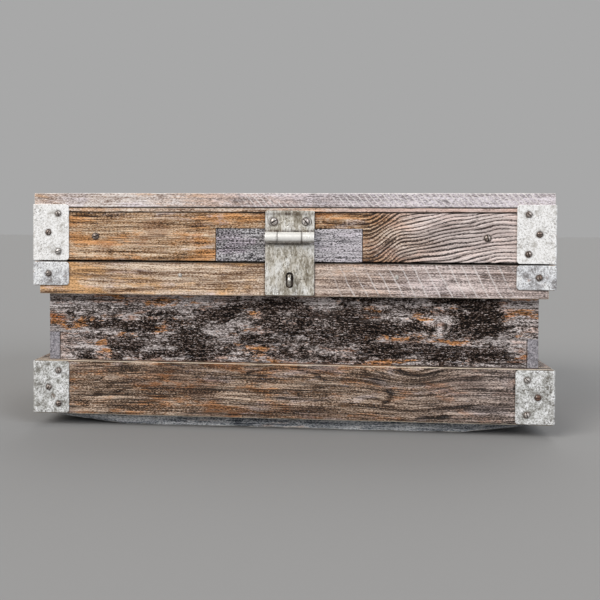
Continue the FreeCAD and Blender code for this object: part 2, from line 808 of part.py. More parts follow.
# ---------------------------------------------------------------------------------------------------
# Staple: round wire bent to a U and driven into the front rail
# ---------------------------------------------------------------------------------------------------
def staple():
    """The U lies in the plane across the front; its legs start inside the rail, its bend is the tip."""
    body = new_body("StapleWire")
    half = number("(staple_height - wire) / 2")
    straight = number("staple_leg + staple_reach - staple_height / 2")
    path = new_sketch(body, "YZ_Plane", "StaplePath")
    upper = path.addGeometry(Part.LineSegment(Vector(0, half, 0), Vector(-straight, half, 0)), False)
    bend = Part.ArcOfCircle(
        Part.Circle(Vector(-straight, 0, 0), Vector(0, 0, 1), half), math.pi / 2, 3 * math.pi / 2
    )
    bend = path.addGeometry(bend, False)
    lower = path.addGeometry(Part.LineSegment(Vector(-straight, -half, 0), Vector(0, -half, 0)), False)
    path.addConstraint(Sketcher.Constraint("Coincident", upper, END, bend, START))
    path.addConstraint(Sketcher.Constraint("Coincident", bend, END, lower, START))
    reach = "-(staple_leg + staple_reach - staple_height / 2)"
    hold(path, upper, START, "0", "(staple_height - wire) / 2")
    hold(path, upper, END, reach, "(staple_height - wire) / 2")
    hold(path, bend, CENTRE, reach, "0")
    path.addConstraint(Sketcher.Constraint("Horizontal", lower))
    path.addConstraint(Sketcher.Constraint("Vertical", upper, END, lower, START))
    path.addConstraint(Sketcher.Constraint("PointOnObject", lower, END, VERTICAL_AXIS))
    section = circles(body, "XZ_Plane", "wire / 2", [("0", "(staple_height - wire) / 2")], "Wire")
    pipe = body.newObject("PartDesign::AdditivePipe", "Bend")
    pipe.Profile = section
    pipe.Spine = (path, [])
    doc.recompute()
    place(body, ("hasp_shift", "-half_depth + staple_leg", "hasp_axis - slot_drop"))
    return body


piece("staple", staple())
doc.recompute()

# ---------------------------------------------------------------------------------------------------
# Fasteners. Each group is one node of separate solids: copies of a turned blank, set at the places
# that the drilled pieces give, so they follow those pieces when a size changes.
# ---------------------------------------------------------------------------------------------------
SCREW_SHANK = 4.2
SCREW_LENGTH = 15
BATTEN_SCREW_LENGTH = 45
HEAD_DOME = 0.3
SLOT_SHARE = 0.13
DRIVE_ANGLES = (20, 65, 110, 5, 140, 85)
NAIL_LENGTH = 34
NAIL_DOME = 0.2


def turned(head, dome, shank, length):
    """A round-headed blank about Z: the head's underside on the XY plane, the shank pointing down."""
    top = head * dome
    radius = ((head / 2) ** 2 + top**2) / (2 * top)
    half_sweep = math.asin(min(1, head / 2 / radius)) / 2
    shoulder = Vector(
        radius * math.sin(half_sweep), 0, top - radius * (1 - math.cos(half_sweep))
    )
    crown = Part.Arc(Vector(head / 2, 0, 0), shoulder, Vector(0, 0, top)).toShape()
    line = Part.makePolygon(
        [
            Vector(0, 0, top),
            Vector(0, 0, -length),
            Vector(shank / 2, 0, -length + shank),
            Vector(shank / 2, 0, 0),
            Vector(head / 2, 0, 0),
        ]
    )
    face = Part.Face(Part.Wire([crown] + line.Edges))
    return face.revolve(Vector(), Vector(0, 0, 1), 360)


def screw(head, length, angle):
    """A slotted screw whose slot is turned by an angle."""
    blank = turned(head, HEAD_DOME, SCREW_SHANK, length)
    slot = Part.makeBox(head, head * SLOT_SHARE, head)
    slot.translate(Vector(-head / 2, -head * SLOT_SHARE / 2, head * HEAD_DOME / 2))
    slot.rotate(Vector(), Vector(0, 0, 1), angle)
    return blank.cut(slot)


def nail():
    return turned(size("nail_head"), NAIL_DOME, size("nail_shank"), NAIL_LENGTH)


def driven(shape, spot, outward):
    """The fastener with its head's underside at spot, pointing out along a direction."""
    copy = shape.copy()
    copy.Placement = Placement(spot, Rotation(Vector(0, 0, 1), outward))
    return copy


def group(label, solids):
    """One node that holds several separate solids."""
    feature = doc.addObject("Part::Feature", "Fasteners")
    feature.Shape = Part.makeCompound(solids)
    return piece(label, feature)


def box_of(label):
    return PIECES[label].Shape.BoundBox


FRONT, BACK = Vector(0, -1, 0), Vector(0, 1, 0)
LEFT, RIGHT = Vector(-1, 0, 0), Vector(1, 0, 0)
UP, DOWN = Vector(0, 0, 1), Vector(0, 0, -1)


def bracket_screws(family):
    """Screws through both leaves of the family's four brackets."""
    screws = BRACKETS[family][2]
    solids = []
    for index, (front_back, left_right) in enumerate(((-1, -1), (-1, 1), (1, -1), (1, 1))):
        corner = ("front" if front_back < 0 else "back") + ("_left" if left_right < 0 else "_right")
        box = box_of(f"{family}_{corner}")
        outer_x = box.XMin if left_right < 0 else box.XMax
        outer_y = box.YMin if front_back < 0 else box.YMax
        for step, (across, up) in enumerate(screws):
            away, level = number(across), box.ZMin + number(up)
            angle = DRIVE_ANGLES[(2 * index + step) % len(DRIVE_ANGLES)]
            body = screw(size("bracket_head"), SCREW_LENGTH, angle)
            on_face = Vector(outer_x - left_right * away, outer_y, level)
            on_side = Vector(outer_x, outer_y - front_back * away, level)
            solids.append(driven(body, on_face, FRONT if front_back < 0 else BACK))
            solids.append(driven(body, on_side, LEFT if left_right < 0 else RIGHT))
    return group(f"{family}_screws", solids)


for family in BRACKETS:
    bracket_screws(family)


def leaf_screws(label, leaves, head, inset, level_of):
    """Two screws near the ends of each leaf, on the back of the crate."""
    solids = []
    for index, leaf in enumerate(leaves):
        box = box_of(leaf)
        for step, at_x in enumerate((box.XMin + inset, box.XMax - inset)):
            angle = DRIVE_ANGLES[(index + step) % len(DRIVE_ANGLES)]
            spot = Vector(at_x, number("half_depth + plate"), level_of(box))
            solids.append(driven(screw(head, SCREW_LENGTH, angle), spot, BACK))
    return group(label, solids)


LEAF_INSET = 14
LEAF_EDGE = 13
leaf_screws(
    "hinge_base_screws",
    ["hinge_base_leaf_left", "hinge_base_leaf_right"],
    size("hinge_head"),
    LEAF_INSET,
    lambda box: box.ZMin + LEAF_EDGE,
)
leaf_screws(
    "hinge_lid_screws",
    ["hinge_lid_leaf_left", "hinge_lid_leaf_right"],
    size("hinge_head"),
    LEAF_INSET,
    lambda box: box.ZMax - LEAF_EDGE,
)

HASP_SCREW_INSET = 13.5
HASP_SCREW_DROP = 17
hasp_box = box_of("hasp_leaf")
hasp_screws = []
for at_x, angle in ((hasp_box.XMin + HASP_SCREW_INSET, 30), (hasp_box.XMax - HASP_SCREW_INSET, 130)):
    spot = Vector(at_x, -number("half_depth + plate"), hasp_box.ZMax - HASP_SCREW_DROP)
    hasp_screws.append(driven(screw(size("hasp_head"), SCREW_LENGTH, angle), spot, FRONT))
group("hasp_screws", hasp_screws)

batten_screws = []
for side in (-1, 1):
    for facing, angle in ((-1, 60), (1, 25)):
        spot = Vector(
            side * number("batten_place"),
            facing * number("half_depth"),
            number("lid_level + lid_board_height / 2"),
        )
        shape = screw(size("batten_head"), BATTEN_SCREW_LENGTH, angle + 40 * side)
        batten_screws.append(driven(shape, spot, FRONT if facing < 0 else BACK))
group("batten_screws", batten_screws)

# Nails: rails to walls, side walls to long walls through their fingers, bottom planks to side walls and
# to runners.
base_nails = []


def base_nail(x, y, level, outward):
    """A nail in the base, its place given by three formulas."""
    base_nails.append(driven(nail(), Vector(number(x), number(y), number(level)), outward))


for side, sideways in (("-", LEFT), ("", RIGHT)):
    for facing, outward in (("-", FRONT), ("", BACK)):
        on_rail = "rim_level - upper_rail_height * 2 / 5"
        base_nail(f"{side}rail_nail_place", f"{facing}half_depth", on_rail, outward)
        on_rail = "rim_level - side_rail_height / 2"
        base_nail(f"{side}half_width", f"{facing}side_nail_place", on_rail, sideways)
        in_wall = f"{facing}(carcass_depth - wall_thick) / 2"
        base_nail(f"{side}carcass_width / 2", in_wall, "third_finger + finger / 2", sideways)
        in_wall = f"{side}(carcass_width - wall_thick) / 2"
        base_nail(in_wall, f"{facing}side_nail_place", "foot_level", DOWN)
for index in range(PLANKS):
    box = box_of(f"bottom_plank_{index + 1}")
    for label in ("skid_front", "skid_back"):
        row = box_of(label).Center.y
        for share in (0.25, 0.75):
            spot = Vector(box.XMin + share * box.XLength, row, box.ZMax)
            base_nails.append(driven(nail(), spot, UP))
group("base_nails", base_nails)

# Nails through the top planks into the battens and the side boards.
lid_nails = []
for name in TOP_PLANKS:
    box = box_of(f"lid_plank_{name}")
    rows = [number("batten_place"), number("half_width - lid_board_thick / 2")]
    for at_x in [-x for x in rows] + rows:
        for share in (0.3, 0.7):
            spot = Vector(at_x, box.YMin + share * box.YLength, box.ZMax)
            lid_nails.append(driven(nail(), spot, UP))
group("lid_nails", lid_nails)

# ---------------------------------------------------------------------------------------------------
# Check and write
# ---------------------------------------------------------------------------------------------------
doc.removeObject("Scratch")
doc.recompute()
for thing in doc.Objects:
    assert not {"Invalid", "Error"} & set(thing.State), f"{thing.Name} failed: {thing.State}"
for label, thing in PIECES.items():
    shape = thing.Shape
    assert not shape.isNull() and shape.isValid() and shape.Solids, f"{label} has no valid solid"

os.makedirs("parts", exist_ok=True)
for label, thing in PIECES.items():
    thing.Shape.exportStep(f"parts/{label}.step")
print(len(PIECES), "pieces")
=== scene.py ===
import math

import bpy
import numpy as np
from mathutils import Matrix, Vector


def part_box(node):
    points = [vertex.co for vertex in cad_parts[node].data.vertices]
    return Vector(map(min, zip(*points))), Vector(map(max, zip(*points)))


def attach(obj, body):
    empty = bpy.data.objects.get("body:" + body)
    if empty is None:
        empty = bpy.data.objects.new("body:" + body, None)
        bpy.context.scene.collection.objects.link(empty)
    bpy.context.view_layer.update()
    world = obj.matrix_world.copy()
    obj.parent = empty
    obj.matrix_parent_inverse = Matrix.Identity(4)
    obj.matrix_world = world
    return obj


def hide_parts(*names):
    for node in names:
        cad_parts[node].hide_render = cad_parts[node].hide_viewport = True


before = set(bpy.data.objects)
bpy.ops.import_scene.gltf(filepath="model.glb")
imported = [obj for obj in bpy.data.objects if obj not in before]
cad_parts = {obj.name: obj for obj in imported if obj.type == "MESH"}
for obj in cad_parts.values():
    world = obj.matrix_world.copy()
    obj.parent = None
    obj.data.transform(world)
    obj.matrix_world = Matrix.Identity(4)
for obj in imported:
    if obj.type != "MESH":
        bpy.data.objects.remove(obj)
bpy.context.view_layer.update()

# ------------------------------------------------------------
# Studio: a wide pale floor, an even pale surround, and large soft lamps. The crate stands square
# to the camera, a little to its left, at about the height of the lid.
STAND = Vector((0.069, -1.621, 0.327))
TURN, TIP, ROLL = math.radians(5.91), math.radians(-1.44), math.radians(0.2)
SENSOR, LENS, SHIFT, SEEN_TO = 36, 54, (0.102, -0.092), 60

camera_data = bpy.data.cameras.new("camera")
camera_data.sensor_width, camera_data.lens, camera_data.clip_end = SENSOR, LENS, SEEN_TO
camera_data.shift_x, camera_data.shift_y = SHIFT
camera = bpy.data.objects.new("camera", camera_data)
look = Vector((-math.sin(TURN) * math.cos(TIP), math.cos(TURN) * math.cos(TIP), math.sin(TIP)))
flat_right = look.cross(Vector((0, 0, 1))).normalized()
flat_up = flat_right.cross(look)
view_right = flat_right * math.cos(ROLL) + flat_up * math.sin(ROLL)
view_up = flat_up * math.cos(ROLL) - flat_right * math.sin(ROLL)
camera.matrix_world = Matrix.Translation(STAND) @ Matrix((view_right, view_up, -look)).transposed().to_4x4()
bpy.context.scene.collection.objects.link(camera)
bpy.context.scene.camera = camera
bpy.context.scene.view_settings.view_transform = "Standard"


def shade(red, green, blue):
    """A colour as it looks on screen, 0 to 255 a channel, as the light it reflects: each channel over 255,
    plus its offset, to the power 2.4; the very darkest are straight shares."""
    light = [((c / 255 + 0.055) / 1.055) ** 2.4 if c > 10 else c / 3295 for c in (red, green, blue)]
    return (*light, 1.0)


def lamp(name, place, strength, colour, softness):
    """A broad, even lamp far away on the side of place, seen from the crate as a disc softness degrees wide."""
    data = bpy.data.lights.new(name, "SUN")
    data.energy, data.color, data.angle = strength, colour, math.radians(softness)
    body = bpy.data.objects.new(name, data)
    body.location = place
    body.rotation_euler = (-Vector(place)).to_track_quat("-Z", "Y").to_euler()
    bpy.context.scene.collection.objects.link(body)


lamp("lamp_left", (-1.6, -1.9, 1.7), 1.95, (1.0, 0.96, 0.91), 34)
lamp("lamp_right", (1.9, -1.7, 1.25), 1.36, (0.92, 0.95, 1.0), 34)
lamp("lamp_behind", (0.4, 2.0, 2.2), 1.0, (1.0, 0.98, 0.96), 50)

surround = bpy.data.worlds.new("surround")
surround.use_nodes = True
surround.node_tree.nodes["Background"].inputs["Color"].default_value = shade(168, 168, 168)
surround.node_tree.nodes["Background"].inputs["Strength"].default_value = 1.0
bpy.context.scene.world = surround

FLOOR_REACH = 20
floor_mesh = bpy.data.meshes.new("floor")
floor_mesh.from_pydata([(x * FLOOR_REACH, y * FLOOR_REACH, 0) for x, y in ((-1, -1), (1, -1), (1, 1), (-1, 1))],
                       [], [(0, 1, 2, 3)])
floor = bpy.data.objects.new("floor", floor_mesh)
floor_paint = bpy.data.materials.new("floor_paint")
floor_paint.use_nodes = True
for socket, value in (("Base Color", shade(148, 148, 148)), ("Roughness", 0.9), ("Specular IOR Level", 0.1)):
    floor_paint.node_tree.nodes["Principled BSDF"].inputs[socket].default_value = value
floor_mesh.materials.append(floor_paint)
bpy.context.scene.collection.objects.link(floor)

# ------------------------------------------------------------
# Walls: softwood boards, finger-jointed at the corners. The front one is blackened by old tar and
# dirt, worn through to bare wood in places; the others wear the same coat.
mm = 0.001
X, Y, Z = 0, 1, 2


def corners(node):
    """A node's lowest and highest corners at rest."""
    return [np.array(corner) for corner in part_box(node)]


def value_noise(x, y, z, seed):
    """A smooth random height, 0 to 1: every whole-number point of space has its own fixed height, which is its
    three numbers scrambled by large odd factors, and a place between eight of them mixes theirs, with weights
    3t² − 2t³ along each axis."""
    cell = [np.floor(v).astype(np.int64) for v in (x, y, z)]
    part = [v - c for v, c in zip((x, y, z), cell)]
    part = [t * t * (3 - 2 * t) for t in part]
    total = 0
    for i in (0, 1):
        for j in (0, 1):
            for k in (0, 1):
                h = (cell[0] + i) * 374761393 + (cell[1] + j) * 668265263 + (cell[2] + k) * 1442695041
                h = h + seed * 97531
                h = (h ^ (h >> 13)) * 1274126177
                h = ((h ^ (h >> 16)) & 0xFFFF) / 0xFFFF
                weight = 1
                for t, corner in zip(part, (i, j, k)):
                    weight = weight * (t if corner else 1 - t)
                total = total + weight * h
    return total


def layered(x, y, z, seed, layers=3):
    """value_noise in layers, each twice as fine and half as high as the one before, 0 to 1."""
    total, share = 0, 0
    for n in range(layers):
        total = total + value_noise(x * 2**n, y * 2**n, z * 2**n, seed + 17 * n) / 2**n
        share += 1 / 2**n
    return total / share


CLOSEST = 0.22 * mm  # how near to each other a grid's lines may be


def ticks(low, high, step, near, cuts=(), dense=None):
    """Where the grid's lines cross one axis: every step from low to high, at the distances near from both
    ends, and at each cut. dense = (from, to, step) is a stretch with closer lines. A line that falls very
    near a cut gives way to it."""
    places = list(np.linspace(low, high, max(2, round((high - low) / step) + 1)))
    if dense:
        start, stop, finer = dense
        places = [p for p in places if not start < p < stop]
        places += list(np.linspace(start, stop, round((stop - start) / finer) + 1))
    reach = near[-1] * 1.01 if near else 0
    places = [p for p in places if low + reach < p < high - reach]
    places += [low + n for n in near if low + n < high] + [high - n for n in near if high - n > low]
    fixed = [low, high, *[c for c in cuts if low < c < high]]
    places = [p for p in places if min(abs(p - c) for c in fixed) > CLOSEST]
    return np.array(sorted(set(np.round(places + fixed, 6))))


def carved(lines, cuts):
    """The surface of a block cut up by three sets of grid lines, with the boxes in cuts taken out: every
    wall between a full cell and an empty one becomes a four-sided face that looks outwards. Gives the
    points, the faces, and the axis that each face looks along."""
    middles = [(line[1:] + line[:-1]) / 2 for line in lines]
    full = np.ones([len(m) for m in middles], bool)
    for low, high in cuts:
        inside = [(m > a) & (m < b) for m, a, b in zip(middles, low, high)]
        full[np.ix_(*inside)] = False
    shape = [len(line) for line in lines]
    faces, axes = [], []
    for axis in (X, Y, Z):
        edge = np.zeros([n + (axis == k) * 2 for k, n in enumerate(full.shape)], np.int8)
        edge[tuple(slice(1, -1) if axis == k else slice(None) for k in (X, Y, Z))] = full
        change = np.diff(edge, axis=axis)
        one, two = (axis + 1) % 3, (axis + 2) % 3
        for sign in (1, -1):
            corner = np.argwhere(change == sign)
            ring = [(0, 0), (0, 1), (1, 1), (1, 0)] if sign == 1 else [(0, 0), (1, 0), (1, 1), (0, 1)]
            quad = []
            for p, q in ring:
                at = corner.copy()
                at[:, one] += p
                at[:, two] += q
                quad.append(np.ravel_multi_index(at.T, shape))
            faces.append(np.stack(quad, 1))
            axes.append(np.full(len(corner), axis))
    faces, axes = np.concatenate(faces), np.concatenate(axes)
    used, index = np.unique(faces, return_inverse=True)
    points = np.stack([line[i] for line, i in zip(lines, np.unravel_index(used, shape))], 1)
    return points, index.reshape(faces.shape), axes


def worn_round(points, low, high, radius):
    """Rounds a block's outer edges by radius, which may differ from point to point: a point nearer to two
    faces than radius moves onto the circle about the line that lies radius inside both. Gives the points and
    how far each moved, as a share of the most, 0 to 1."""
    radius = np.minimum(radius, ((high - low) / 2.001).min())[:, None]
    core = np.clip(points, low + radius, high - radius)
    off = points - core
    longest, length = np.abs(off).max(1), np.linalg.norm(off, axis=1)
    scale = np.where(length > 1e-9, longest / np.maximum(length, 1e-9), 1)
    wear = np.clip(1 - scale, 0, 0.3) / 0.3
    return core + off * scale[:, None], wear


def solid_piece(node, points, faces, body, slot, finish, values=(), face_values=(), sharp=50):
    """Makes the mesh, with its values at points and on faces, hangs it on its body and puts it in the node's
    place."""
    name = node + "_worn"
    mesh = bpy.data.meshes.new(name)
    mesh.vertices.add(len(points))
    mesh.vertices.foreach_set("co", points.astype(np.float32).ravel())
    mesh.loops.add(faces.size)
    mesh.loops.foreach_set("vertex_index", faces.astype(np.int32).ravel())
    mesh.polygons.add(len(faces))
    mesh.polygons.foreach_set("loop_start", np.arange(0, faces.size, faces.shape[1], dtype=np.int32))
    mesh.polygons.foreach_set("use_smooth", np.ones(len(faces), bool))
    mesh.update(calc_edges=True)
    mesh.validate()
    mesh.set_sharp_from_angle(angle=math.radians(sharp))
    for label, data, domain in [(*v, "POINT") for v in values] + [(*v, "FACE") for v in face_values]:
        kind, key = ("FLOAT_VECTOR", "vector") if data.ndim == 2 else ("FLOAT", "value")
        mesh.attributes.new(label, kind, domain).data.foreach_set(key, data.astype(np.float32).ravel())
    mesh.materials.append(finish)
    piece = bpy.data.objects.new(name, mesh)
    bpy.context.scene.collection.objects.link(piece)
    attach(piece, body)
    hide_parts(node)


EDGE = [0.4 * mm, 0.9 * mm, 1.6 * mm, 2.6 * mm, 4 * mm]  # extra grid lines beside a board's edges
SKIN = 5 * mm  # how deep a side's relief pulls at the points below it
# How fast painted shadow fades from a steel plate's edge or round a screw head; and where the grid has extra
# lines beside a plate, in mm.
PLATE_SHADE, PLATE_SIDES = 1.1 * mm, (-1.2, 0, 1.2)


def board(node, body, finish, grain, face, seed, steps=(7, 5), dense=None, cuts=(), worn=1.2, carve=0.35,
          flow=None, extra=None, shown=1.0, shape=None, square=None, grime=None, plates=(), slot=None):
    """A worn board in the place of a CAD node. Grain runs along one axis; face is the axis its broad sides
    look along. steps are the grid's spacings along and across the grain, in mm. The board's edges are rounded
    by a wandering radius of about worn mm, with bites taken out, and every side sinks by the wood's relief,
    about carve mm deep: ridges that run with the grain, narrow cracks and shallow dents. flow(points) may give
    the across-grain place, so that the figure sweeps round; extra(points) more depth, in mm, which darkens the
    wood by its share shown. square is the box of a tongued plank without its tongues, shape(points) bends the
    finished board, and the painted shade function of the points says where painted shadow darkens it, 0 to 1.
    plates are the steel nodes fixed over it: painted shadow lies along their outlines and under them, near the
    outer face, and the grid has lines beside them. slot, the material slot's name where it isn't the finish's
    own, is not used. A pattern's divisors are how far it runs, in metres, along and across the grain."""
    low, high = corners(node)
    across = 3 - grain - face
    cut_lines = [[c[k] for pair in cuts for c in pair] for k in (X, Y, Z)]
    cut_lines[X] += [corner[X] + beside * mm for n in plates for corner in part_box(n) for beside in PLATE_SIDES]
    lines = [None] * 3
    lines[grain] = ticks(low[grain], high[grain], steps[0] * mm, EDGE[1:], cut_lines[grain])
    lines[across] = ticks(low[across], high[across], steps[1] * mm, EDGE, cut_lines[across], dense)
    lines[face] = ticks(low[face], high[face], SKIN, EDGE[:4], cut_lines[face])
    points, faces, axes = carved(lines, cuts)
    a, b, c = points[:, grain], points[:, across], points[:, face]
    if flow is not None:
        b = flow(points)
    wander = layered(a / 0.05, b / 0.05, c / 0.05, seed, 2)
    drift = b + (layered(a / 0.2, b / 0.03, c / 0.03, seed + 5, 2) - 0.5) * 0.009
    ridges = layered(a / 0.09, drift / 0.0042, c / 0.009, seed + 1, 3)
    seam = value_noise(a / 0.11, drift / 0.011, c / 0.012, seed + 2)
    cracks = np.exp(-(((seam - 0.5) / 0.028) ** 2))
    cracks = cracks * (value_noise(a / 0.045, b / 0.03, c / 0.03, seed + 3) > 0.6)
    dents = np.clip(layered(a / 0.02, b / 0.012, c / 0.012, seed + 4, 2) - 0.66, 0, 1) * 4
    depth = carve * (0.85 * (1 - ridges) + 1.2 * cracks + 0.9 * dents)
    more = extra(points) if extra is not None else 0
    relief = np.exp(-(depth + shown * more) / (2.4 * carve))
    depth = (depth + more) * mm
    bite = np.clip(value_noise(*(points.T / 0.011), seed + 6) - 0.62, 0, 1)
    radius = worn * mm * (0.45 + 1.1 * wander + 4.0 * bite)
    near, far = square or (low, high)
    rounded, wear = worn_round(points, near, far, radius)
    tongue = ((points < near - 1e-6) | (points > far + 1e-6)).any(1)
    rounded[tongue], wear[tongue] = points[tongue], 0
    for axis in (X, Y, Z):
        reach = np.minimum(SKIN, (high[axis] - low[axis]) / 2.5)
        rounded[:, axis] += depth * np.clip(1 - (points[:, axis] - low[axis]) / reach, 0, 1)
        rounded[:, axis] -= depth * np.clip(1 - (high[axis] - points[:, axis]) / reach, 0, 1)
    if shape is not None:
        rounded = shape(rounded)
    # Painted shade: the share that the painted shade function gives, and painted shadow along each steel plate's
    # outline and under it, near the outer face.
    shadow_share = grime(points) if grime is not None else np.zeros(len(points))
    outside = np.abs(points[:, Y]) > max(-low[Y], high[Y]) - EDGE[-1]
    for plate in plates:
        near, far = corners(plate)
        off = np.maximum(near - points, points - far)[:, [X, Z]]
        gap = np.where(off.max(1) > 0, np.hypot(*np.maximum(off, 0).T), -off.max(1))
        shadow_share = np.maximum(shadow_share, 0.9 * np.exp(-gap / PLATE_SHADE) * outside)
    thread = np.stack([a + seed * 0.37, drift, c], 1)
    values = [("relief", relief), ("thread", thread), ("wear", wear), ("grime", shadow_share),
              ("crust", crust_left(points))]
    slot = slot or finish.name.split(".")[0]  # the frame has a finish of the same name, so this one has a number
    solid_piece(node, rounded, faces, body, slot, finish, values, [("end", (axes == grain) * 1.0)])


class Finish:
    """A material and short ways to add its nodes."""

    def __init__(self, name):
        self.material = bpy.data.materials.new(name)
        self.material.use_nodes = True
        self.tree = self.material.node_tree
        self.shader = self.tree.nodes["Principled BSDF"]

    def node(self, kind, settings, *inputs, out=0):
        """Adds a node, sets its settings, and gives its inputs a number or another node's output."""
        made = self.tree.nodes.new(kind)
        for key, value in settings.items():
            setattr(made, key, value)
        for key, value in inputs:
            if isinstance(value, bpy.types.NodeSocket):
                self.tree.links.new(value, made.inputs[key])
            else:
                made.inputs[key].default_value = value
        return made.outputs[out]

    def place(self):
        """Where the surface is, in metres, in the crate's own frame."""
        return self.node("ShaderNodeTexCoord", {}, out=3)

    def part(self, vector, axis):
        """One of a place's three numbers."""
        return self.node("ShaderNodeSeparateXYZ", {}, (0, vector), out=axis)

    def value(self, name):
        """A number stored on the mesh."""
        return self.node("ShaderNodeAttribute", {"attribute_name": name}, out=2)

    def arrow(self, name):
        """Three numbers stored on the mesh."""
        return self.node("ShaderNodeAttribute", {"attribute_name": name}, out=1)

    def stretched(self, vector, scale, shift=(0, 0, 0), turn=(0, 0, 0)):
        """A place scaled, turned and shifted."""
        return self.node("ShaderNodeMapping", {}, (0, vector), (1, shift), (2, turn), (3, scale))

    def cloud(self, vector, scale, detail=3.0, roughness=0.55, distortion=0.0):
        """Cloudy noise at that scale, centred near 0.5."""
        return self.node("ShaderNodeTexNoise", {},
                         (0, vector), (2, scale), (3, detail), (4, roughness), (8, distortion))

    def sums(self, how, first, second=0.0, third=0.0):
        """A sum of that kind on two or three numbers."""
        return self.node("ShaderNodeMath", {"operation": how}, (0, first), (1, second), (2, third))

    def times(self, first, second):
        """The product of two numbers."""
        return self.sums("MULTIPLY", first, second)

    def between(self, value, low, high, to_low=0.0, to_high=1.0):
        """value brought from low..high to to_low..to_high with soft ends."""
        return self.node("ShaderNodeMapRange", {"interpolation_type": "SMOOTHSTEP"},
                         (0, value), (1, low), (2, high), (3, to_low), (4, to_high))

    def over(self, share, under, top, how="MIX"):
        """top laid over under, by share."""
        settings = {"data_type": "RGBA", "blend_type": how}
        return self.node("ShaderNodeMix", settings, (0, share), (6, under), (7, top), out=2)

    def ramp(self, value, stops):
        """Colours at places from 0 to 1."""
        made = self.tree.nodes.new("ShaderNodeValToRGB")
        self.tree.links.new(value, made.inputs[0])
        bands = made.color_ramp.elements
        while len(bands) < len(stops):
            bands.new(0.5)
        for band, (place, colour) in zip(bands, stops):
            band.position, band.color = place, shade(*colour)
        return made.outputs[0]

    def finish(self, colour, roughness, height, depth):
        """Joins colour, roughness and a bump of that depth to the shader."""
        self.tree.links.new(colour, self.shader.inputs["Base Color"])
        self.tree.links.new(roughness, self.shader.inputs["Roughness"])
        bump = self.node("ShaderNodeBump", {}, ("Strength", 1.0), ("Distance", depth), ("Height", height))
        self.tree.links.new(bump, self.shader.inputs["Normal"])
        return self.material


# The colours of saw marks, pale scars, dark pits and painted shade.
SAW_DUST, SCAR, PIT, SHADE_TONE = (232, 226, 224), (212, 204, 206), (34, 27, 24), (24, 19, 17)
OUTER_FRONT = (0.218, 0.223)  # how far forward the front's outer faces begin


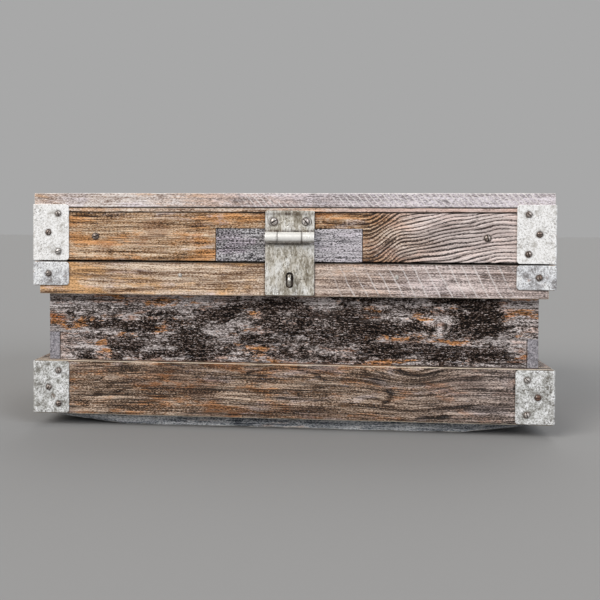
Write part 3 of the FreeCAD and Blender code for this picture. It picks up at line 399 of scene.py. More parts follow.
def aged_wood(name, tones, patches=(), flecks=0.3, pits=0.3, kerf=None, crust=None, rim=None, gloss=0.62,
              streak=1.0, lines=0.4, end_tones=None, fade=None, coarse=1.0, shine=0.24):
    """Old wood. tones are the colours of grooves, body and ridges. Fine threads and wider bands run with the
    grain, streak strong; the mesh's relief darkens grooves, and coarse is how gritty the surface is. patches
    are (colour, size in m, from, to, share, seed, how) stains; flecks are short pale scars, pits dark ones,
    lines thin dark veins along the grain; kerf = (share, lean in degrees, spacing in m, how thin, from x, to x)
    slanting saw marks; crust is the colour of a thick black layer, kept where the mesh's crust value says; rim
    = (colour, share) paints the rounded edges, pale as wear, and dark as painted shade in the joints; fade =
    (lift, colour, share, from x, to x) makes the wood paler and of another hue towards one end of the front.
    Saw marks show on the front only, too. The mesh's painted shade value lays painted shadow in joints, under
    rails and round steel plates. end_tones are the end grain's colours, gloss the roughness, and shine how
    strongly it reflects."""
    f = Finish(name)
    thread, place = f.arrow("thread"), f.place()
    fine = f.cloud(f.stretched(thread, (16, 460, 460)), 1.0, 5.0, 0.74)
    band = f.cloud(f.stretched(thread, (4, 120, 120)), 1.0, 3.0, 0.55, 0.2)
    broad = f.cloud(f.stretched(place, (6, 9, 24), (4, 2, 0)), 1.0, 3.0)
    grit = f.cloud(f.stretched(thread, (300, 800, 800)), 1.0, 3.0, 0.7)
    mark = 0.5
    for noise, middle, share in ((fine, 0.5, 2.2 * streak), (band, 0.5, 0.8), (f.value("relief"), 0.8, 1.3),
                                 (broad, 0.5, 0.6), (grit, 0.5, 2.4 * coarse)):
        mark = f.sums("MULTIPLY_ADD", noise, share, f.sums("ADD", mark, -middle * share))
    sideways, front = f.part(place, X), f.times(f.part(place, Y), -1.0)
    if fade:
        lift, hue, weight, start, stop = fade
        along = f.between(f.sums("MULTIPLY_ADD", broad, 0.2, sideways), start + 0.1, stop + 0.1)
        along = f.times(along, f.between(front, 0.02, 0.2))
        mark = f.sums("MULTIPLY_ADD", along, lift, mark)
    dark, body, pale = tones
    colour = f.ramp(mark, [(0.2, dark), (0.5, body), (0.82, pale)])
    for paint, size, low, high, share, seed, how in patches:
        stain = f.stretched(place, (0.45 / size, 1.0 / size, 1.6 / size), (seed * 3.1, seed, seed * 1.7))
        stain = f.sums("ADD", f.cloud(stain, 1.0, 6.0, 0.7, 0.3), -0.175)
        stain = f.between(f.sums("MULTIPLY_ADD", fine, 0.35, stain), low, high)
        colour = f.over(f.times(stain, share), colour, shade(*paint), how)
    if fade:
        colour = f.over(f.times(along, weight), colour, shade(*hue), "COLOR")
    vein = f.cloud(f.stretched(thread, (3.2, 230, 230), (3, 9, 4)), 1.0, 3.0, 0.6, 0.3)
    vein = f.between(f.sums("ABSOLUTE", f.sums("SUBTRACT", vein, 0.5)), 0.008, 0.04, 1.0, 0.0)
    colour = f.over(f.times(vein, lines), colour, shade(*dark))
    if kerf:
        share, lean, spacing, keen, start, stop = kerf
        slant = f.stretched(place, (1, 1, 1), (0, 0, 0), (0, math.radians(lean), 0))
        bands = 2 * math.pi / 20 / spacing  # the wave's own scale counts in twentieths of a turn
        wave = f.node("ShaderNodeTexWave", {"bands_direction": "X"},
                      (0, slant), (1, bands), (2, 1.6), (3, 3.0), (4, 1.5))
        ends = f.between(sideways, start, start + 0.06), f.between(sideways, stop - 0.06, stop, 1.0, 0.0)
        here = f.times(f.times(f.times(*ends), f.between(broad, 0.36, 0.5)), f.between(front, *OUTER_FRONT))
        line = f.times(f.between(wave, keen, 1.0), f.times(here, f.between(grit, 0.25, 0.5)))
        colour = f.over(f.times(line, share), colour, shade(*SAW_DUST))
    if crust:
        layer = f.cloud(f.stretched(place, (40, 60, 95), (1.3, 0, 2.2)), 1.0, 6.0, 0.75, 0.5)
        layer = f.sums("ADD", f.value("crust"), f.sums("MULTIPLY_ADD", layer, 3.2, -1.6))
        layer = f.sums("ADD", layer, f.sums("MULTIPLY_ADD", fine, 2.2, -1.1))
        tar = f.ramp(f.sums("MULTIPLY_ADD", grit, 2.0, f.sums("MULTIPLY_ADD", fine, 1.2, -1.1)),
                     [(0.4, crust), (0.58, (38, 28, 22)), (0.72, (104, 84, 72)), (0.9, (222, 212, 212))])
        colour = f.over(f.between(layer, 0.44, 0.56), colour, tar)
    scar = f.cloud(f.stretched(thread, (75, 380, 380), (7, 3, 1), (0.3, 0.25, 0)), 1.0, 4.0, 0.7, 1.4)
    where = f.between(f.cloud(f.stretched(place, (18, 18, 34), (5, 5, 5)), 1.0, 2.0), 0.42, 0.62)
    colour = f.over(f.times(f.times(f.between(scar, 0.6, 0.67), where), flecks), colour, shade(*SCAR))
    pit = f.cloud(f.stretched(thread, (90, 420, 420), (1, 8, 2)), 1.0, 3.0, 0.7)
    colour = f.over(f.times(f.between(pit, 0.58, 0.66), pits), colour, shade(*PIT))
    # Rounded edges take the rim colour: pale as wear, and dark as painted shade in the joints of the lid's
    # boards, strip and lock block.
    if rim:
        paint, share = rim
        worn = f.between(f.times(f.value("wear"), f.sums("ADD", fine, 0.6)), 0.05, 0.8)
        colour = f.over(f.times(worn, share), colour, shade(*paint))
    # Painted shade, where the mesh's painted shade value says.
    colour = f.over(f.times(f.value("grime"), 0.92), colour, shade(*SHADE_TONE))
    dark_end, pale_end = end_tones or (dark, body)
    cells = f.cloud(f.stretched(place, (420, 420, 420)), 1.0, 3.0, 0.7)
    colour = f.over(f.value("end"), colour, f.ramp(cells, [(0.35, dark_end), (0.65, pale_end)]))
    f.shader.inputs["Specular IOR Level"].default_value = shine
    height = f.sums("ADD", f.times(fine, 0.9), f.times(grit, 0.4))
    return f.finish(colour, f.between(fine, 0.3, 0.7, gloss + 0.12, gloss - 0.12), height, 1.2 * mm)


dark_wood = aged_wood(
    "dark_wood", [(52, 45, 42), (148, 136, 131), (224, 216, 215)],
    patches=[((182, 122, 62), 0.035, 0.53, 0.6, 0.9, 1, "COLOR"),
             ((206, 150, 108), 0.03, 0.55, 0.62, 0.6, 21, "MULTIPLY"),
             ((180, 156, 146), 0.045, 0.55, 0.63, 0.7, 2, "COLOR")],
    flecks=0.85, pits=0.5, lines=0.55, crust=(3, 2, 2), gloss=0.5, coarse=1.5, shine=0.08,
    end_tones=((92, 90, 95), (182, 178, 184)),
)

WALL, TOP_FINGER, FINGER, KNOT = 19 * mm, 53 * mm, 62 * mm, (0.236, 0.168)
BETWEEN_RAILS = (0.104, 0.214, 1.05 * mm)
wall_low, wall_high = corners("front_wall")


def finger_gaps(low, high, axis, end, first):
    """The boxes that the other wall's fingers fill at one end of a wall, counted from the top: every second
    one, from the first."""
    tops = [wall_high[Z] + mm, *[wall_high[Z] - TOP_FINGER - n * FINGER for n in range(3)], wall_low[Z] - mm]
    gaps = []
    for n in range(first, 4, 2):
        a, b = low - mm, high + mm
        a[Z], b[Z] = tops[n + 1], tops[n]
        if end < 0:
            b[axis] = low[axis] + WALL
        else:
            a[axis] = high[axis] - WALL
        gaps.append((a, b))
    return gaps


def crust_left(points):
    """How much of the black layer is left, near 0 to 1: slow patches, thinner at the wall's ends, under the
    upper rail, where the lower rail's top collects water, round the knot and to the left, and gone inside."""
    x, y, z = points.T
    patch = layered(x / 0.05, y / 0.05, z / 0.018, 71, 3)
    along = np.where(np.abs(y) > 0.19, np.abs(x) / 0.386, np.abs(y) / 0.207)
    ends = np.clip((along - 0.82) / 0.12, 0, 1)
    brim = np.clip((z - 0.190) / 0.018, 0, 1.4) * (1.25 - np.sin(x * 9)) + np.clip((0.116 - z) / 0.012, 0, 1)
    knot = np.exp(-((np.hypot((x - KNOT[0]) / 1.3, z - KNOT[1]) / 0.014) ** 2))
    inside = (np.abs(x) < 0.372) & (np.abs(y) < 0.193)
    thinned = 0.85 * ends + 0.36 * brim + 0.9 * knot + inside + 0.3 * np.clip(-x / 0.3, 0, 1)
    return 0.73 + 2.4 * (patch - 0.5) - thinned


def bared(points):
    """Extra depth in mm where the black layer has come away."""
    return 0.9 * np.clip((0.56 - crust_left(points)) / 0.12, 0, 1)


def knotted(points):
    """The across-grain place on the front wall: height, turned near the knot into distance from its middle,
    so that the figure closes in rings there, with a bell-shaped share 18 mm wide."""
    x, z = points[:, X], points[:, Z]
    away = np.hypot((x - KNOT[0]) / 1.3, z - KNOT[1])
    share = np.exp(-((away / 0.018) ** 2))
    return z * (1 - share) + (KNOT[1] + away) * share


for label, seed in (("front", 3), ("back", 11)):
    low, high = corners(f"{label}_wall")
    cuts = finger_gaps(low, high, X, -1, 0) + finger_gaps(low, high, X, 1, 0)
    front = label == "front"
    board(f"{label}_wall", "base", dark_wood, X, Y, seed, (3.2, 6) if front else (8, 6),
          BETWEEN_RAILS if front else None, cuts, worn=0.7, carve=0.7, flow=knotted if front else None,
          extra=bared, shown=0.0)
for label, seed in (("left", 23), ("right", 31)):
    low, high = corners(f"{label}_wall")
    cuts = finger_gaps(low, high, Y, -1, 1) + finger_gaps(low, high, Y, 1, 1)
    board(f"{label}_wall", "base", dark_wood, Y, X, seed, (7, 4), None, cuts, worn=0.7, carve=0.6,
          extra=bared, shown=0.0)

# ------------------------------------------------------------
# Bottom: four planks laid front to back between the walls, nailed up into them, sawn and left bare.
# Softwood, yellowed and dusty.
bare_wood = aged_wood(
    "bare_wood", [(96, 76, 58), (160, 134, 106), (200, 178, 150)],
    patches=[((178, 150, 122), 0.12, 0.5, 0.66, 0.5, 4, "MULTIPLY"),
             ((150, 138, 128), 0.09, 0.52, 0.68, 0.6, 5, "COLOR")],
    flecks=0.1, pits=0.2, lines=0.3, gloss=0.75, streak=0.6,
)
for n in range(1, 5):
    board(f"bottom_plank_{n}", "base", bare_wood, Y, Z, 40 + n, (9, 5), worn=0.7, carve=0.4)

# ------------------------------------------------------------
# Runners: two hardwood slabs under the bottom, their ends cut to ride up over rough ground, greyed
# and polished by dragging.
FOOT_END, RAMP, RUNNER, RAMP_RISE = 266 * mm, 110 * mm, 20 * mm, 14 * mm
runner_wood = aged_wood(
    "runner_wood", [(48, 54, 62), (152, 158, 166), (232, 233, 234)],
    patches=[((124, 104, 90), 0.06, 0.52, 0.64, 0.6, 6, "COLOR")], flecks=0.5, pits=0.6, gloss=0.6,
    rim=((222, 218, 208), 0.9),
)


def upswept(points):
    """Lifts the lower side of a runner's ends: thickness shrinks in a straight line outside the flat foot."""
    rise = np.clip((np.abs(points[:, X]) - FOOT_END) / RAMP, 0, 1) * RAMP_RISE / RUNNER
    lifted = points.copy()
    lifted[:, Z] = RUNNER - (RUNNER - points[:, Z]) * (1 - rise)
    return lifted


def under_the_rail(points):
    """Painted shadow at a runner's top, in the joint under the rail, gone 3 mm down."""
    return 0.8 * np.clip(1 - (RUNNER - points[:, Z]) / (3 * mm), 0, 1)


for label, seed in (("front", 51), ("back", 57)):
    board(f"skid_{label}", "base", runner_wood, X, Z, seed, (6, 3), worn=1.6, carve=0.6,
          shape=upswept, grime=under_the_rail)

# ------------------------------------------------------------
# Bottom rails: a stout band round the crate's foot, red-brown and dark with handling, its upper edge
# worn pale and its lower edge chipped by the ground.
bottom_rail_wood = aged_wood(
    "bottom_rail_wood", [(26, 17, 12), (119, 91, 69), (214, 192, 172)],
    patches=[((182, 116, 52), 0.045, 0.5, 0.6, 0.7, 7, "COLOR"),
             ((140, 130, 130), 0.05, 0.54, 0.64, 0.6, 8, "COLOR"),
             ((140, 116, 104), 0.07, 0.5, 0.6, 0.6, 9, "MULTIPLY")],
    flecks=0.45, pits=0.7, lines=0.85, gloss=0.5, rim=((236, 222, 200), 1.0),
    fade=(-0.02, (138, 128, 126), 0.6, 0.1, 0.36),
)


def cathedral(points):
    """The across-grain place on the front rail: rings that arch where the saw ran along a hump in the trunk,
    two humps, each a bell curve along the rail."""
    x, z = points[:, X], points[:, Z]
    hump = 0.012 * np.exp(-(((x - 0.19) / 0.05) ** 2)) - 0.006 * np.exp(-(((x + 0.2) / 0.12) ** 2))
    return z + hump * np.clip((z - 0.02) / 0.06, 0, 1.2)


for label, seed in (("front", 61), ("back", 67)):
    board(f"bottom_rail_{label}", "base", bottom_rail_wood, X, Y, seed,
          (3.4, 1.05) if label == "front" else (8, 4), worn=1.5, carve=0.55, flow=cathedral,
          plates=[f"bottom_bracket_{label}_left", f"bottom_bracket_{label}_right"])
for label, seed in (("left", 71), ("right", 77)):
    board(f"bottom_rail_{label}", "base", bottom_rail_wood, Y, X, seed, (6, 2.5), worn=1.5,
          carve=0.55)

# ------------------------------------------------------------
# Upper rails: a narrower band under the rim, tan and cleaner than the walls, still showing the
# slanting marks of the saw. The side ones lap past the front and back ones.
upper_rail_wood = aged_wood(
    "upper_rail_wood", [(90, 62, 42), (181, 151, 124), (240, 222, 202)],
    patches=[((198, 146, 84), 0.07, 0.46, 0.6, 0.75, 11, "COLOR"),
             ((176, 160, 160), 0.07, 0.54, 0.64, 0.6, 12, "COLOR")],
    flecks=0.4, pits=0.4, lines=0.5, gloss=0.56, rim=((238, 220, 196), 0.8),
    fade=(-0.07, (178, 167, 167), 0.8, -0.12, 0.26), kerf=(0.62, 27, 0.0165, 0.93, 0.05, 0.37),
)
rim_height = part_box("upper_rail_front")[1][Z]
SLOT_X, SLOT_Z, OUTER = 4 * mm, 237.5 * mm, 222 * mm
LAP_X, LAP_Y, LAP_Z = (0.385, 0.395), (0.207, 0.226), (0.2, 0.27)


def rim_and_slot_shade(points):
    """Painted shade on the rail's upper edge, in the lid's joint, and on the rail's face seen through the hasp's
    slot, fading out in an oval round the staple."""
    x, z = points[:, X] - SLOT_X, points[:, Z] - SLOT_Z
    joint = np.clip(1.4 - (rim_height - points[:, Z]) / (1.5 * mm), 0, 1) * (np.abs(points[:, Y]) > OUTER)
    oval = np.clip(1.9 - np.hypot(x / (7 * mm), z / (13 * mm)), 0, 1) * (points[:, Y] < -OUTER)
    return np.maximum(joint, oval)


for label, seed in (("front", 81), ("back", 87)):
    front = label == "front"
    board(f"upper_rail_{label}", "base", upper_rail_wood, X, Y, seed,
          (3.4, 1.05) if front else (8, 4), worn=1.1, carve=0.35, grime=rim_and_slot_shade,
          plates=[f"upper_bracket_{label}_left", f"upper_bracket_{label}_right"] + ["hasp_flap"] * front)
for label, side, seed in (("left", -1, 91), ("right", 1, 97)):
    laps = []
    for end in (-1, 1):
        box = zip(sorted(side * v for v in LAP_X), sorted(end * v for v in LAP_Y), LAP_Z)
        laps.append([np.array(corner) for corner in box])
    board(f"upper_rail_{label}", "base", upper_rail_wood, Y, X, seed, (6, 2.5), cuts=laps,
          worn=1.1, carve=0.35)

# ------------------------------------------------------------
# Lid frame: four boards on edge. The front one is figured: straight brown bands to the left, and to
# the right bold raised grain that sweeps up and round. A pocket in it holds the lock block.
lid_frame_wood = aged_wood(
    "lid_frame_wood", [(54, 34, 20), (180, 138, 97), (240, 218, 192)],
    patches=[((192, 126, 56), 0.06, 0.48, 0.6, 0.7, 13, "COLOR"),
             ((168, 156, 156), 0.05, 0.58, 0.66, 0.6, 14, "COLOR"),
             ((180, 154, 138), 0.05, 0.52, 0.62, 0.6, 22, "MULTIPLY")],
    # The dark rim is painted shade in the joints round these boards.
    flecks=0.4, pits=0.5, lines=0.6, gloss=0.5, rim=((52, 36, 28), 0.85),
    fade=(0.48, (177, 168, 168), 0.8, 0.08, 0.24),
)
SEAMS = np.array([265.5, 342.5, 349.5]) * mm


def sweep(points):
    """The across-grain place on the lid's front board: level to the left; to the right it climbs 28 mm over
    a short stretch, along a smooth step, then more gently, with slow waves."""
    x, z = points[:, X], points[:, Z]
    step = np.clip((x - 0.122) / 0.055, 0, 1)
    climb = 0.028 * step * step * (3 - 2 * step) + 0.19 * np.clip(x - 0.165, 0, 0.15)
    waves = 0.009 * (layered(x / 0.05, z / 0.03, 0 * x, 401, 2) - 0.5) * np.clip((x - 0.1) / 0.05, 0, 1)
    return z - climb + waves


def raised_grain(points):
    """Extra depth in mm: rounded grooves 6 mm apart across the sweeping grain, right of the block only."""
    x = points[:, X]
    phase = sweep(points) / (6.0 * mm) + 1.2 * layered(x / 0.05, points[:, Z] / 0.02, 0 * x, 409, 2)
    fade = np.clip((x - 0.112) / 0.02, 0, 1) * np.clip((0.40 - x) / 0.1, 0.3, 1)
    return 0.9 * (0.5 + 0.5 * np.cos(2 * math.pi * phase)) ** 3 * fade


def seams(points):
    """Painted shadow along the top and bottom of the lid's front board and along the foot of the top's front
    edge,
    in the joints: full at the joint, gone 1.8 mm from it, and only on the outside."""
    gap = np.abs(points[:, Z, None] - SEAMS).min(1)
    return np.clip(1.4 - gap / (1.3 * mm), 0, 1) * (points[:, Y] < -OUTER)


block_low, block_high = corners("lock_block")
pocket = (block_low - [0.3 * mm, mm, mm], block_high + 0.3 * mm)
board("lid_front_board", "lid", lid_frame_wood, X, Y, 101, (3.2, 0.95), cuts=[pocket], worn=1.1,
      carve=0.5, flow=sweep, extra=raised_grain, shown=2.2, grime=seams,
      plates=["lid_bracket_front_left", "lid_bracket_front_right", "hasp_leaf"])
board("lid_back_board", "lid", lid_frame_wood, X, Y, 107, (8, 4), worn=1.1, carve=0.45)
for label, seed in (("left", 111), ("right", 117)):
    board(f"lid_{label}_board", "lid", lid_frame_wood, Y, X, seed, (6, 2.5), worn=1.1, carve=0.45)

# ------------------------------------------------------------
# Lock block: a short board let into the lid's front where an older lock sat. Darker and rougher to
# the left of the hasp, greyer and lighter to the right.
block_wood = aged_wood(
    "block_wood", [(28, 27, 29), (116, 112, 114), (222, 219, 222)],
    patches=[((160, 146, 158), 0.05, 0.5, 0.62, 0.6, 16, "COLOR")], flecks=0.95, pits=0.9, lines=0.5, gloss=0.5,
    # The dark rim is painted shade in the joint round the block.
    rim=((40, 30, 26), 0.9), streak=0.9, coarse=1.9, fade=(0.24, (160, 156, 161), 0.7, -0.02, 0.06),
)
board("lock_block", "lid", block_wood, X, Y, 121, (2.4, 0.95), worn=0.8, carve=0.6)

# ------------------------------------------------------------
# Top: three tongued planks laid along the lid over a thin packing strip, two battens across under
# them. Their front edge is pale, with slanting saw marks.
top_wood = aged_wood(
    "top_wood", [(128, 108, 97), (204, 188, 179), (246, 239, 234)],
    patches=[((216, 172, 132), 0.1, 0.48, 0.6, 0.85, 17, "COLOR"),
             ((196, 188, 194), 0.12, 0.5, 0.62, 0.7, 18, "COLOR")],
    flecks=0.25, pits=0.35, lines=0.3, gloss=0.6, rim=((250, 246, 242), 0.95), streak=0.55,
    fade=(-0.06, (194, 188, 196), 0.8, -0.25, 0.1), kerf=(0.8, 42, 0.0075, 0.7, -0.1, 0.42),
)
strip_wood = aged_wood(
    "strip_wood", [(96, 68, 50), (206, 176, 152), (244, 230, 216)],
    patches=[((204, 150, 96), 0.08, 0.48, 0.6, 0.6, 19, "COLOR")], flecks=0.2, pits=0.4, lines=0.4, gloss=0.6,
    # The dark rim is painted shade in the joints above and below the strip.
    rim=((36, 26, 21), 0.95), streak=0.8, fade=(0.1, (190, 168, 164), 0.7, -0.05, 0.15),
)
for label, seed, along in (("front", 131, 4), ("back", 133, 8)):
    board(f"lid_strip_{label}", "lid", strip_wood, X, Z, seed, (along, 4), worn=1.3, carve=0.4, slot="top_wood")
TONGUE, GROOVE = 7.5 * mm, 7 * mm
TONGUE_LOW, TONGUE_HIGH, GROOVE_LOW, GROOVE_HIGH = 8 * mm, 15 * mm, 7.5 * mm, 15.5 * mm
for label, seed, along in (("front", 141, 4), ("middle", 147, 6), ("back", 151, 6)):
    low, high = corners(f"lid_plank_{label}")
    near, far, cuts = low.copy(), high.copy(), []
    if label != "front":
        near[Y] += TONGUE
        for a, b in ((-mm, TONGUE_LOW), (TONGUE_HIGH, 24 * mm)):
            cuts.append((np.array([-1, low[Y] - mm, low[Z] + a]), np.array([1, near[Y], low[Z] + b])))
    if label != "back":
        cuts.append((np.array([-1, high[Y] - GROOVE, low[Z] + GROOVE_LOW]),
                     np.array([1, high[Y] + mm, low[Z] + GROOVE_HIGH])))
    board(f"lid_plank_{label}", "lid", top_wood, X, Z, seed, (along, 3.4), cuts=cuts, worn=1.0,
          carve=0.5, square=(near, far), grime=seams)
for label, seed in (("left", 161), ("right", 167)):
    board(f"lid_batten_{label}", "lid", bare_wood, Y, X, seed, (8, 5), worn=1.0, carve=0.4)

# ------------------------------------------------------------
# Corner brackets: 2 mm zinc-coated sheet folded round the corners, dented, pitted and rust-stained,
# each leaf with rounded corners, held by slotted screws.
LEAF, SHEET, FOLD, LEAF_CORNER = 57 * mm, 2 * mm, 1.5 * mm, 5 * mm
CRATE_CORNER, BUCKLE, HEAD = np.array([404, 225]) * mm, 0.35, 5 * mm
# The colours of pits, of painted shade with rust, and of painted shade in screw slots.
HOLE, STEEL_SHADE_AND_RUST, SLOT_SHADE = (74, 66, 60), (66, 50, 39), (34, 27, 23)


def worn_steel(name, tones, rust, pits, metal=0.55, rough=0.42, blotch=0.02, seed=0.0, dense=0.5, proud=None,
               drawn=1.0):
    """Old steel. tones run from tarnished to bright in blotches, with a fine stipple of both; rust = (colour,
    from, to) where it has bloomed; pits is how strongly small dark pits show, and dense, 0 to 1, how much of
    the surface has them. A value on the mesh darkens it: painted shade round screw heads and at the hasp's
    knuckle, and rust near the top of the hasp's leaf. proud = (x, y, z) is how far out the tops of screw heads
    are in x and y, and how high they are: a slot's floor is half a head down, and painted shade darkens it
    there, and more thinly round the rim. drawn below 1 draws the blotches out downwards, as rain does."""
    f = Finish(name)
    place = f.place()

    def blots(shift, scale, detail, roughness, distortion=0.0, drawn=1.0):
        """A cloud at that scale, from its own part of space."""
        return f.cloud(f.stretched(place, (1, 1, drawn), shift), scale, detail, roughness, distortion)

    wide = blots((seed, seed, 0), 1 / blotch, 5.0, 0.62, 0.0, drawn)
    small = blots((0, seed, 3), 260.0, 4.0, 0.6, 0.0, drawn)
    tarnish = f.sums("ADD", f.times(wide, 0.8), f.times(small, 0.2))
    dark, body, bright = tones
    colour = f.ramp(tarnish, [(0.36, dark), (0.48, body), (0.6, bright)])
    here = f.between(blots((2, 5, seed), 36.0, 4.0, 0.6), 0.68 - 0.3 * dense, 0.74 - 0.2 * dense)
    hole = f.times(f.between(blots((seed, 5, 1), 300.0, 3.0, 0.55, 0.4), 0.55, 0.62), f.times(here, pits))
    colour = f.over(f.times(hole, 0.8), colour, shade(*HOLE))
    stipple = blots((3, seed, 8), 420.0, 4.0, 0.75, 0.0, drawn)
    colour = f.over(f.between(stipple, 0.46, 0.62, 0.0, 0.75), colour, shade(*dark))
    colour = f.over(f.between(stipple, 0.36, 0.46, 0.6, 0.0), colour, shade(*bright))
    paint, low, high = rust
    bloom = f.sums("ADD", f.times(blots((9, 2, seed), 30.0, 6.0, 0.65), 0.8), f.times(small, 0.2))
    rusty = f.between(bloom, low, high)
    colour = f.over(rusty, colour, shade(*paint))
    colour = f.over(f.times(f.value("wear"), 0.35), colour, shade(*bright))
    # Painted shade round screw heads and at the hasp's knuckle, and rust on the hasp's leaf, from the mesh's
    # value.
    dirt = f.times(f.value("dirt"), f.between(small, 0.35, 0.6, 0.5, 0.95))
    colour = f.over(dirt, colour, shade(*STEEL_SHADE_AND_RUST))
    if proud:
        # Painted shade in a screw's slot and, more thinly, round its rim.
        out = [f.sums("SUBTRACT", f.sums("ABSOLUTE", f.part(place, axis)), proud[axis]) for axis in (X, Y)]
        down = f.sums("DIVIDE", f.sums("MAXIMUM", *out), -proud[Z])
        dirt = f.times(f.between(down, 0.38, 0.48), f.between(down, 0.52, 0.62, 1.0, 0.45))
        colour = f.over(f.times(dirt, 0.95), colour, shade(*SLOT_SHADE))
    f.tree.links.new(f.between(rusty, 0.0, 0.6, metal, 0.05), f.shader.inputs["Metallic"])
    gloss = f.sums("ADD", f.between(wide, 0.3, 0.7, rough + 0.08, rough - 0.08), f.times(rusty, 0.3))
    return f.finish(colour, gloss, f.sums("SUBTRACT", f.times(small, 0.5), f.times(hole, 0.8)), 0.5 * mm)


galvanised = worn_steel("galvanised_steel", [(190, 187, 182), (255, 255, 255), (255, 255, 255)],
                        ((168, 142, 124), 0.6, 0.68), 0.7, metal=0.15, rough=0.4, blotch=0.014, dense=0.75)
tarnished = worn_steel("tarnished_steel", [(118, 114, 106), (212, 213, 211), (252, 253, 254)],
                       ((120, 94, 76), 0.58, 0.68), 0.9, metal=0.2, blotch=0.012, seed=4.0, dense=0.85)
stained = worn_steel("stained_steel", [(128, 124, 124), (226, 228, 232), (252, 254, 255)],
                     ((134, 96, 76), 0.57, 0.66), 0.9, metal=0.2, rough=0.45, blotch=0.016, seed=9.0, dense=0.6)


def bracket(node, body, finish, seed):
    """A folded sheet in the place of a CAD bracket. Its points lie on a grid of (along the fold's section,
    height, depth in the sheet); the first is bent to a right angle round a 1.5 mm inner radius at the corner,
    and shortened near the top and bottom so that each leaf ends in quarter circles. The sheet is lifted by
    slow buckles and a wavy lip, and knocked in small dents, and a ring of painted shade circles each screw head."""
    low, high = corners(node)
    sx, sy = (1 if low[X] > 0 else -1), (1 if low[Y] > 0 else -1)
    lines = [
        ticks(-LEAF, LEAF, 1.6 * mm, [0.3 * mm, 0.8 * mm], [-FOLD, 0, FOLD], (-2 * FOLD, 2 * FOLD, 0.5 * mm)),
        ticks(low[Z], high[Z], 1.6 * mm, [0.3 * mm, 0.8 * mm, 1.6 * mm, 2.6 * mm, 3.8 * mm]),
        np.array([0, 0.4, 1.0, 1.6, 2.0]) * mm,
    ]
    points, faces, axes = carved(lines, [])
    flat_low, flat_high = np.array([-LEAF, low[Z], -SHEET]), np.array([LEAF, high[Z], SHEET])
    rounded, wear = worn_round(points, flat_low, flat_high, np.full(len(points), 0.7 * mm))
    s, z, w = rounded.T
    off = np.clip(LEAF_CORNER - np.minimum(z - low[Z], high[Z] - z), 0, LEAF_CORNER)
    reach = LEAF - LEAF_CORNER + np.sqrt(np.maximum(LEAF_CORNER**2 - off**2, 0))
    inner = LEAF * 0.6
    far = np.abs(s) > inner
    s = np.where(far, np.sign(s) * (inner + (np.abs(s) - inner) * (reach - inner) / (LEAF - inner)), s)
    waves = layered(s / 0.017, z / 0.017, 0 * s, seed, 3) - 0.5
    knocks = np.clip(value_noise(s / 0.006, z / 0.006, 0 * s, seed + 1) - 0.7, 0, 1)
    lift = BUCKLE * mm * (1.6 * np.clip(waves, -0.2, 1) - 1.4 * knocks) + 0.05 * mm
    lip = np.clip((np.abs(s) - LEAF + 4 * mm) / (4 * mm), 0, 1) * 0.4 * mm
    lip = lip * (layered(z / 0.012, 0 * z, 0 * z, seed + 2, 2) - 0.3)
    w = w + np.maximum(lift + lip, -0.15 * mm)
    turn = np.clip((s / FOLD + 1) / 2, 0, 1) * math.pi / 2
    arc = np.abs(s) <= FOLD
    a = np.where(arc, FOLD - (FOLD + w) * np.sin(turn), np.where(s < 0, -s, -w))
    b = np.where(arc, FOLD - (FOLD + w) * np.cos(turn), np.where(s < 0, -w, s))
    bent = np.stack([sx * (CRATE_CORNER[X] - a), sy * (CRATE_CORNER[Y] - b), z], 1)
    if sx * sy < 0:
        faces = faces[:, ::-1]
    middle, tall = (low[Z] + high[Z]) / 2, high[Z] - low[Z]
    heads = [(24 * mm, middle)]
    if tall > 50 * mm:
        heads += [(40 * mm, middle - tall / 2 + 14.5 * mm), (40 * mm, middle + tall / 2 - 14.5 * mm)]
    # A ring of painted shade round each screw head.
    dirt = sum(np.exp(-(((np.hypot(np.abs(s) - h, z - v) - HEAD) / PLATE_SHADE) ** 2)) for h, v in heads)
    solid_piece(node, bent, faces, body, "galvanised_steel", finish, [("wear", wear), ("dirt", dirt)], sharp=60)


seed = 300
for level, body, finish in (("bottom", "base", tarnished), ("upper", "base", stained),
                            ("lid", "lid", galvanised)):
    for place in ("front_left", "front_right", "back_left", "back_right"):
        seed += 13
        bracket(f"{level}_bracket_{place}", body, finish, seed)

# ------------------------------------------------------------
# Hasp: two leaves of 2.5 mm plate rolled round one pin. The upper is screwed to the lid's front
# board; the lower, with a slot, hangs over the staple. Grey steel gone olive, brown at the knuckle, whose
# lower half is painted dark, partly as rust and partly as painted shade; painted shadow lies where each plate
# meets the knuckle and round the screw heads.
PLATE, KNUCKLE, PIN, ROLLED = 2.5 * mm, 8.75 * mm, 4.1 * mm, math.radians(315)
JOINT, END_KNUCKLE, PLATE_CORNER, HASP_HEAD = 9.3 * mm, 19.25 * mm, 3 * mm, 6.8 * mm
SLOT_WIDE, SLOT_TALL, SLOT_DOWN, CLEAR = 12 * mm, 25 * mm, -66 * mm, 0.25 * mm
FLAP_BACK = -225.3 * mm
pin = sum(corners("hasp_pin")) / 2
leaf_low, leaf_high = corners("hasp_leaf")
inner_left, inner_right = leaf_low[X] + END_KNUCKLE, leaf_high[X] - END_KNUCKLE
hasp_steel = worn_steel("hasp_steel", [(122, 112, 95), (216, 210, 197), (254, 253, 249)],
                        ((132, 106, 88), 0.6, 0.76), 0.8, metal=0.35, rough=0.3, blotch=0.014, seed=7.0,
                        dense=0.7, drawn=0.4)


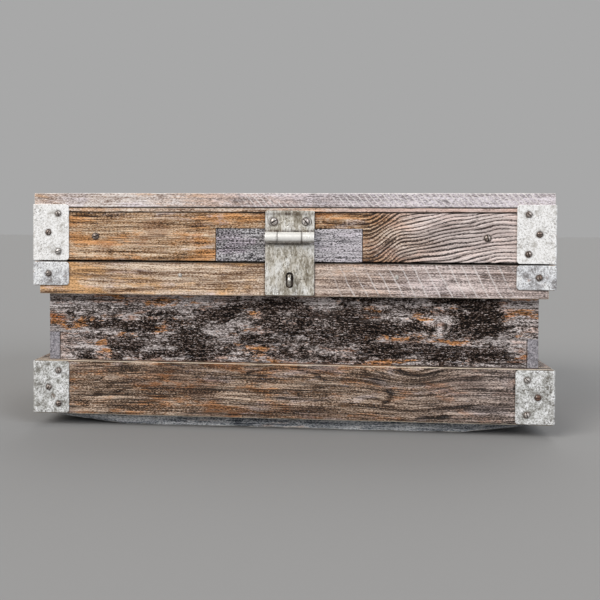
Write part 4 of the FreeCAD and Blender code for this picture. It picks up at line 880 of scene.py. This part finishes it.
def rolled_plate(node, body, upward, back, cuts, slotted, seed, heads=()):
    """A plate with rolled knuckles. Its points lie on a grid of (across, along the plate, depth in it). Along
    the flat part, place is counted back from the pin's level; past it, the plate turns about the pin: angle =
    arc length over the outer radius, 315 degrees in all, while it thickens to close on the pin. The slot's
    square ends are drawn into half circles: a point's square distance e = max of its offsets, over the half
    width, becomes its round distance, fading out as e goes from 1 to 2."""
    low, high = corners(node)
    reach = high[Z] - pin[Z] if upward else pin[Z] - low[Z]
    rolled_end = ROLLED * KNUCKLE
    cut_lines = [[c[k] for pair in cuts for c in pair] for k in (0, 1)]
    lines = [
        ticks(low[X], high[X], 1.6 * mm, [0.3 * mm, 0.8 * mm, 1.6 * mm], cut_lines[0]),
        ticks(-reach, rolled_end, 1.5 * mm, [0.3 * mm, 0.8 * mm, 1.6 * mm], cut_lines[1]),
        np.array([0, 0.4, 1.2, 2.1, 2.5]) * mm,
    ]
    points, faces, axes = carved(lines, cuts)
    flat_low, flat_high = np.array([low[X], -reach, 0]), np.array([high[X], rolled_end, PLATE])
    wander = value_noise(points[:, 0] / 0.008, points[:, 1] / 0.008, 0 * points[:, 0], seed)
    rounded, wear = worn_round(points, flat_low, flat_high, 0.8 * mm * (0.7 + 0.6 * wander))
    x, v, w = rounded.T
    off = np.clip(PLATE_CORNER - (v + reach), 0, PLATE_CORNER)
    half, centre = (high[X] - low[X]) / 2, (high[X] + low[X]) / 2
    x = centre + (x - centre) * (half - PLATE_CORNER + np.sqrt(np.maximum(PLATE_CORNER**2 - off**2, 0))) / half
    if slotted:
        middle, across = (np.array(cuts[-1][0]) + cuts[-1][1]) / 2, SLOT_WIDE / 2
        straight = (SLOT_TALL - SLOT_WIDE) / 2
        dx, beyond = x - middle[0], np.maximum(np.abs(v - middle[1]) - straight, 0)
        square, circle = np.maximum(np.abs(dx), beyond) / across, np.hypot(dx, beyond) / across
        ratio = np.where(circle > 1e-6, square / np.maximum(circle, 1e-6), 1)
        factor = 1 + (ratio - 1) * np.clip(2 - square, 0, 1) * (beyond > 0)
        v = np.where(beyond > 0, middle[1] + np.sign(v - middle[1]) * (straight + beyond * factor), v)
        x = middle[0] + dx * factor
    waves = layered(x / 0.02, v / 0.02, 0 * x, seed + 1, 3)
    knocks = np.clip(value_noise(x / 0.005, v / 0.005, 0 * x, seed + 2) - 0.72, 0, 1)
    lift = (0.5 * waves - 0.9 * knocks * (w > mm)) * mm * np.clip(-v / (12 * mm), 0, 1)
    thick = 1 + (KNUCKLE - PIN - PLATE) / PLATE * np.clip(1 + v / (6 * mm), 0, 1)
    turn = np.clip(v, 0, rolled_end) / KNUCKLE
    radius = KNUCKLE - w * thick - 0.12 * mm * waves * (w < mm)
    settle = (pin[Y] + KNUCKLE - back) * np.clip(1 + v / (10 * mm), 0, 1)
    y = np.where(v < 0, back - w * thick - lift + settle, pin[Y] + radius * np.cos(turn))
    z = pin[Z] + (-1 if upward else 1) * np.where(v < 0, v, radius * np.sin(turn))
    if not upward:
        faces = faces[:, ::-1]
    rolled = v > 0
    # The mesh's darker value: a band of painted shadow where the plate meets the knuckle, 10 mm from the pin's
    # level; the knuckle's lower half, painted dark as rust and painted shade; dark lines at the joints between
    # knuckles; and on the upper leaf a wavy band of rust 5.5 mm from its top edge.
    band = np.exp(-(((v + 10 * mm) / (2.2 * mm)) ** 2))
    band = band + rolled * 0.8 * np.clip(((pin[Z] - z) / KNUCKLE - 0.35) / 0.4, 0, 1)
    band = band + rolled * np.exp(-np.minimum(np.abs(x - inner_left), np.abs(x - inner_right)) / (0.9 * mm))
    if upward:
        band = band + 1.5 * waves * np.exp(-(((v + reach - 5.5 * mm) / (2.6 * mm)) ** 2))
    # A ring of painted shade round each screw head.
    rings = sum(np.exp(-(((np.hypot(x - hx, v - hv) - HASP_HEAD) / PLATE_SHADE) ** 2)) for hx, hv in heads)
    values = [("wear", np.maximum(wear, 2.4 * rolled)), ("dirt", np.clip(band, 0, 1) + rings)]
    solid_piece(node, np.stack([x, y, z], 1), faces, body, "hasp_steel", hasp_steel, values, sharp=60)


heads = [(leaf_low[X] + 11.5 * mm, -24.7 * mm), (leaf_high[X] - 11.5 * mm, -24.7 * mm)]
rolled_plate("hasp_leaf", "lid", True, leaf_high[Y],
             [((inner_left - CLEAR, -JOINT, -mm), (inner_right + CLEAR, 1, 1))], False, 501, heads)
rolled_plate("hasp_flap", "hasp", False, FLAP_BACK,
             [((-1, -JOINT, -mm), (inner_left + CLEAR, 1, 1)), ((inner_right - CLEAR, -JOINT, -mm), (1, 1, 1)),
              ((SLOT_X - SLOT_WIDE / 2, SLOT_DOWN - SLOT_TALL / 2, -mm),
               (SLOT_X + SLOT_WIDE / 2, SLOT_DOWN + SLOT_TALL / 2, 1))], True, 507)

# ------------------------------------------------------------
# Small steel: the staple and the pins, bright where they rub; back hinges dull and rusty; cut nails;
# and slotted screws, brown or bright, whose domed heads are painted dark in the slot and round the rim, as
# painted shade.
HEAD_DOME = 0.3  # a head's height over its width
staple_steel = worn_steel("staple_steel", [(70, 64, 56), (168, 162, 150), (244, 243, 238)],
                          ((90, 64, 46), 0.62, 0.74), 0.3, metal=0.6, rough=0.3, blotch=0.012, seed=11.0)
hinge_steel = worn_steel("hinge_steel", [(70, 64, 60), (116, 110, 104), (168, 164, 158)],
                         ((104, 66, 42), 0.5, 0.66), 0.8, metal=0.45, rough=0.5, blotch=0.014, seed=13.0)
nail_iron = worn_steel("nail_iron", [(104, 96, 90), (186, 180, 174), (240, 238, 234)],
                       ((104, 76, 58), 0.56, 0.7), 0.6, metal=0.3, rough=0.5, blotch=0.03, seed=19.0)
small = {
    staple_steel: ["staple", "hasp_pin"],
    hinge_steel: ["hinge_base_leaf_left", "hinge_base_leaf_right", "hinge_lid_leaf_left",
                  "hinge_lid_leaf_right", "hinge_pins"],
    nail_iron: ["base_nails", "lid_nails"],
}
for label, head, sides in (("bottom_bracket", 10, True), ("upper_bracket", 10, True), ("lid_bracket", 10, True),
                           ("batten", 12, False), ("hinge_base", 9.5, False), ("hinge_lid", 9.5, False),
                           ("hasp", 14, False)):
    tops = np.abs(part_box(label + "_screws")).max(0)
    proud = (tops[X] if sides else 1.0, tops[Y], head * HEAD_DOME * mm)
    screw_steel = worn_steel(label + "_screw_steel", [(72, 56, 48), (146, 130, 120), (230, 226, 222)],
                             ((104, 74, 56), 0.5, 0.66), 0.4, metal=0.5, rough=0.4, blotch=0.05,
                             seed=17.0 + tops[Y], dense=0.3, proud=proud)
    small[screw_steel] = [label + "_screws"]
for finish, nodes in small.items():
    for node in nodes:
        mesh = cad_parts[node].data
        mesh.materials.clear()
        mesh.materials.append(finish)
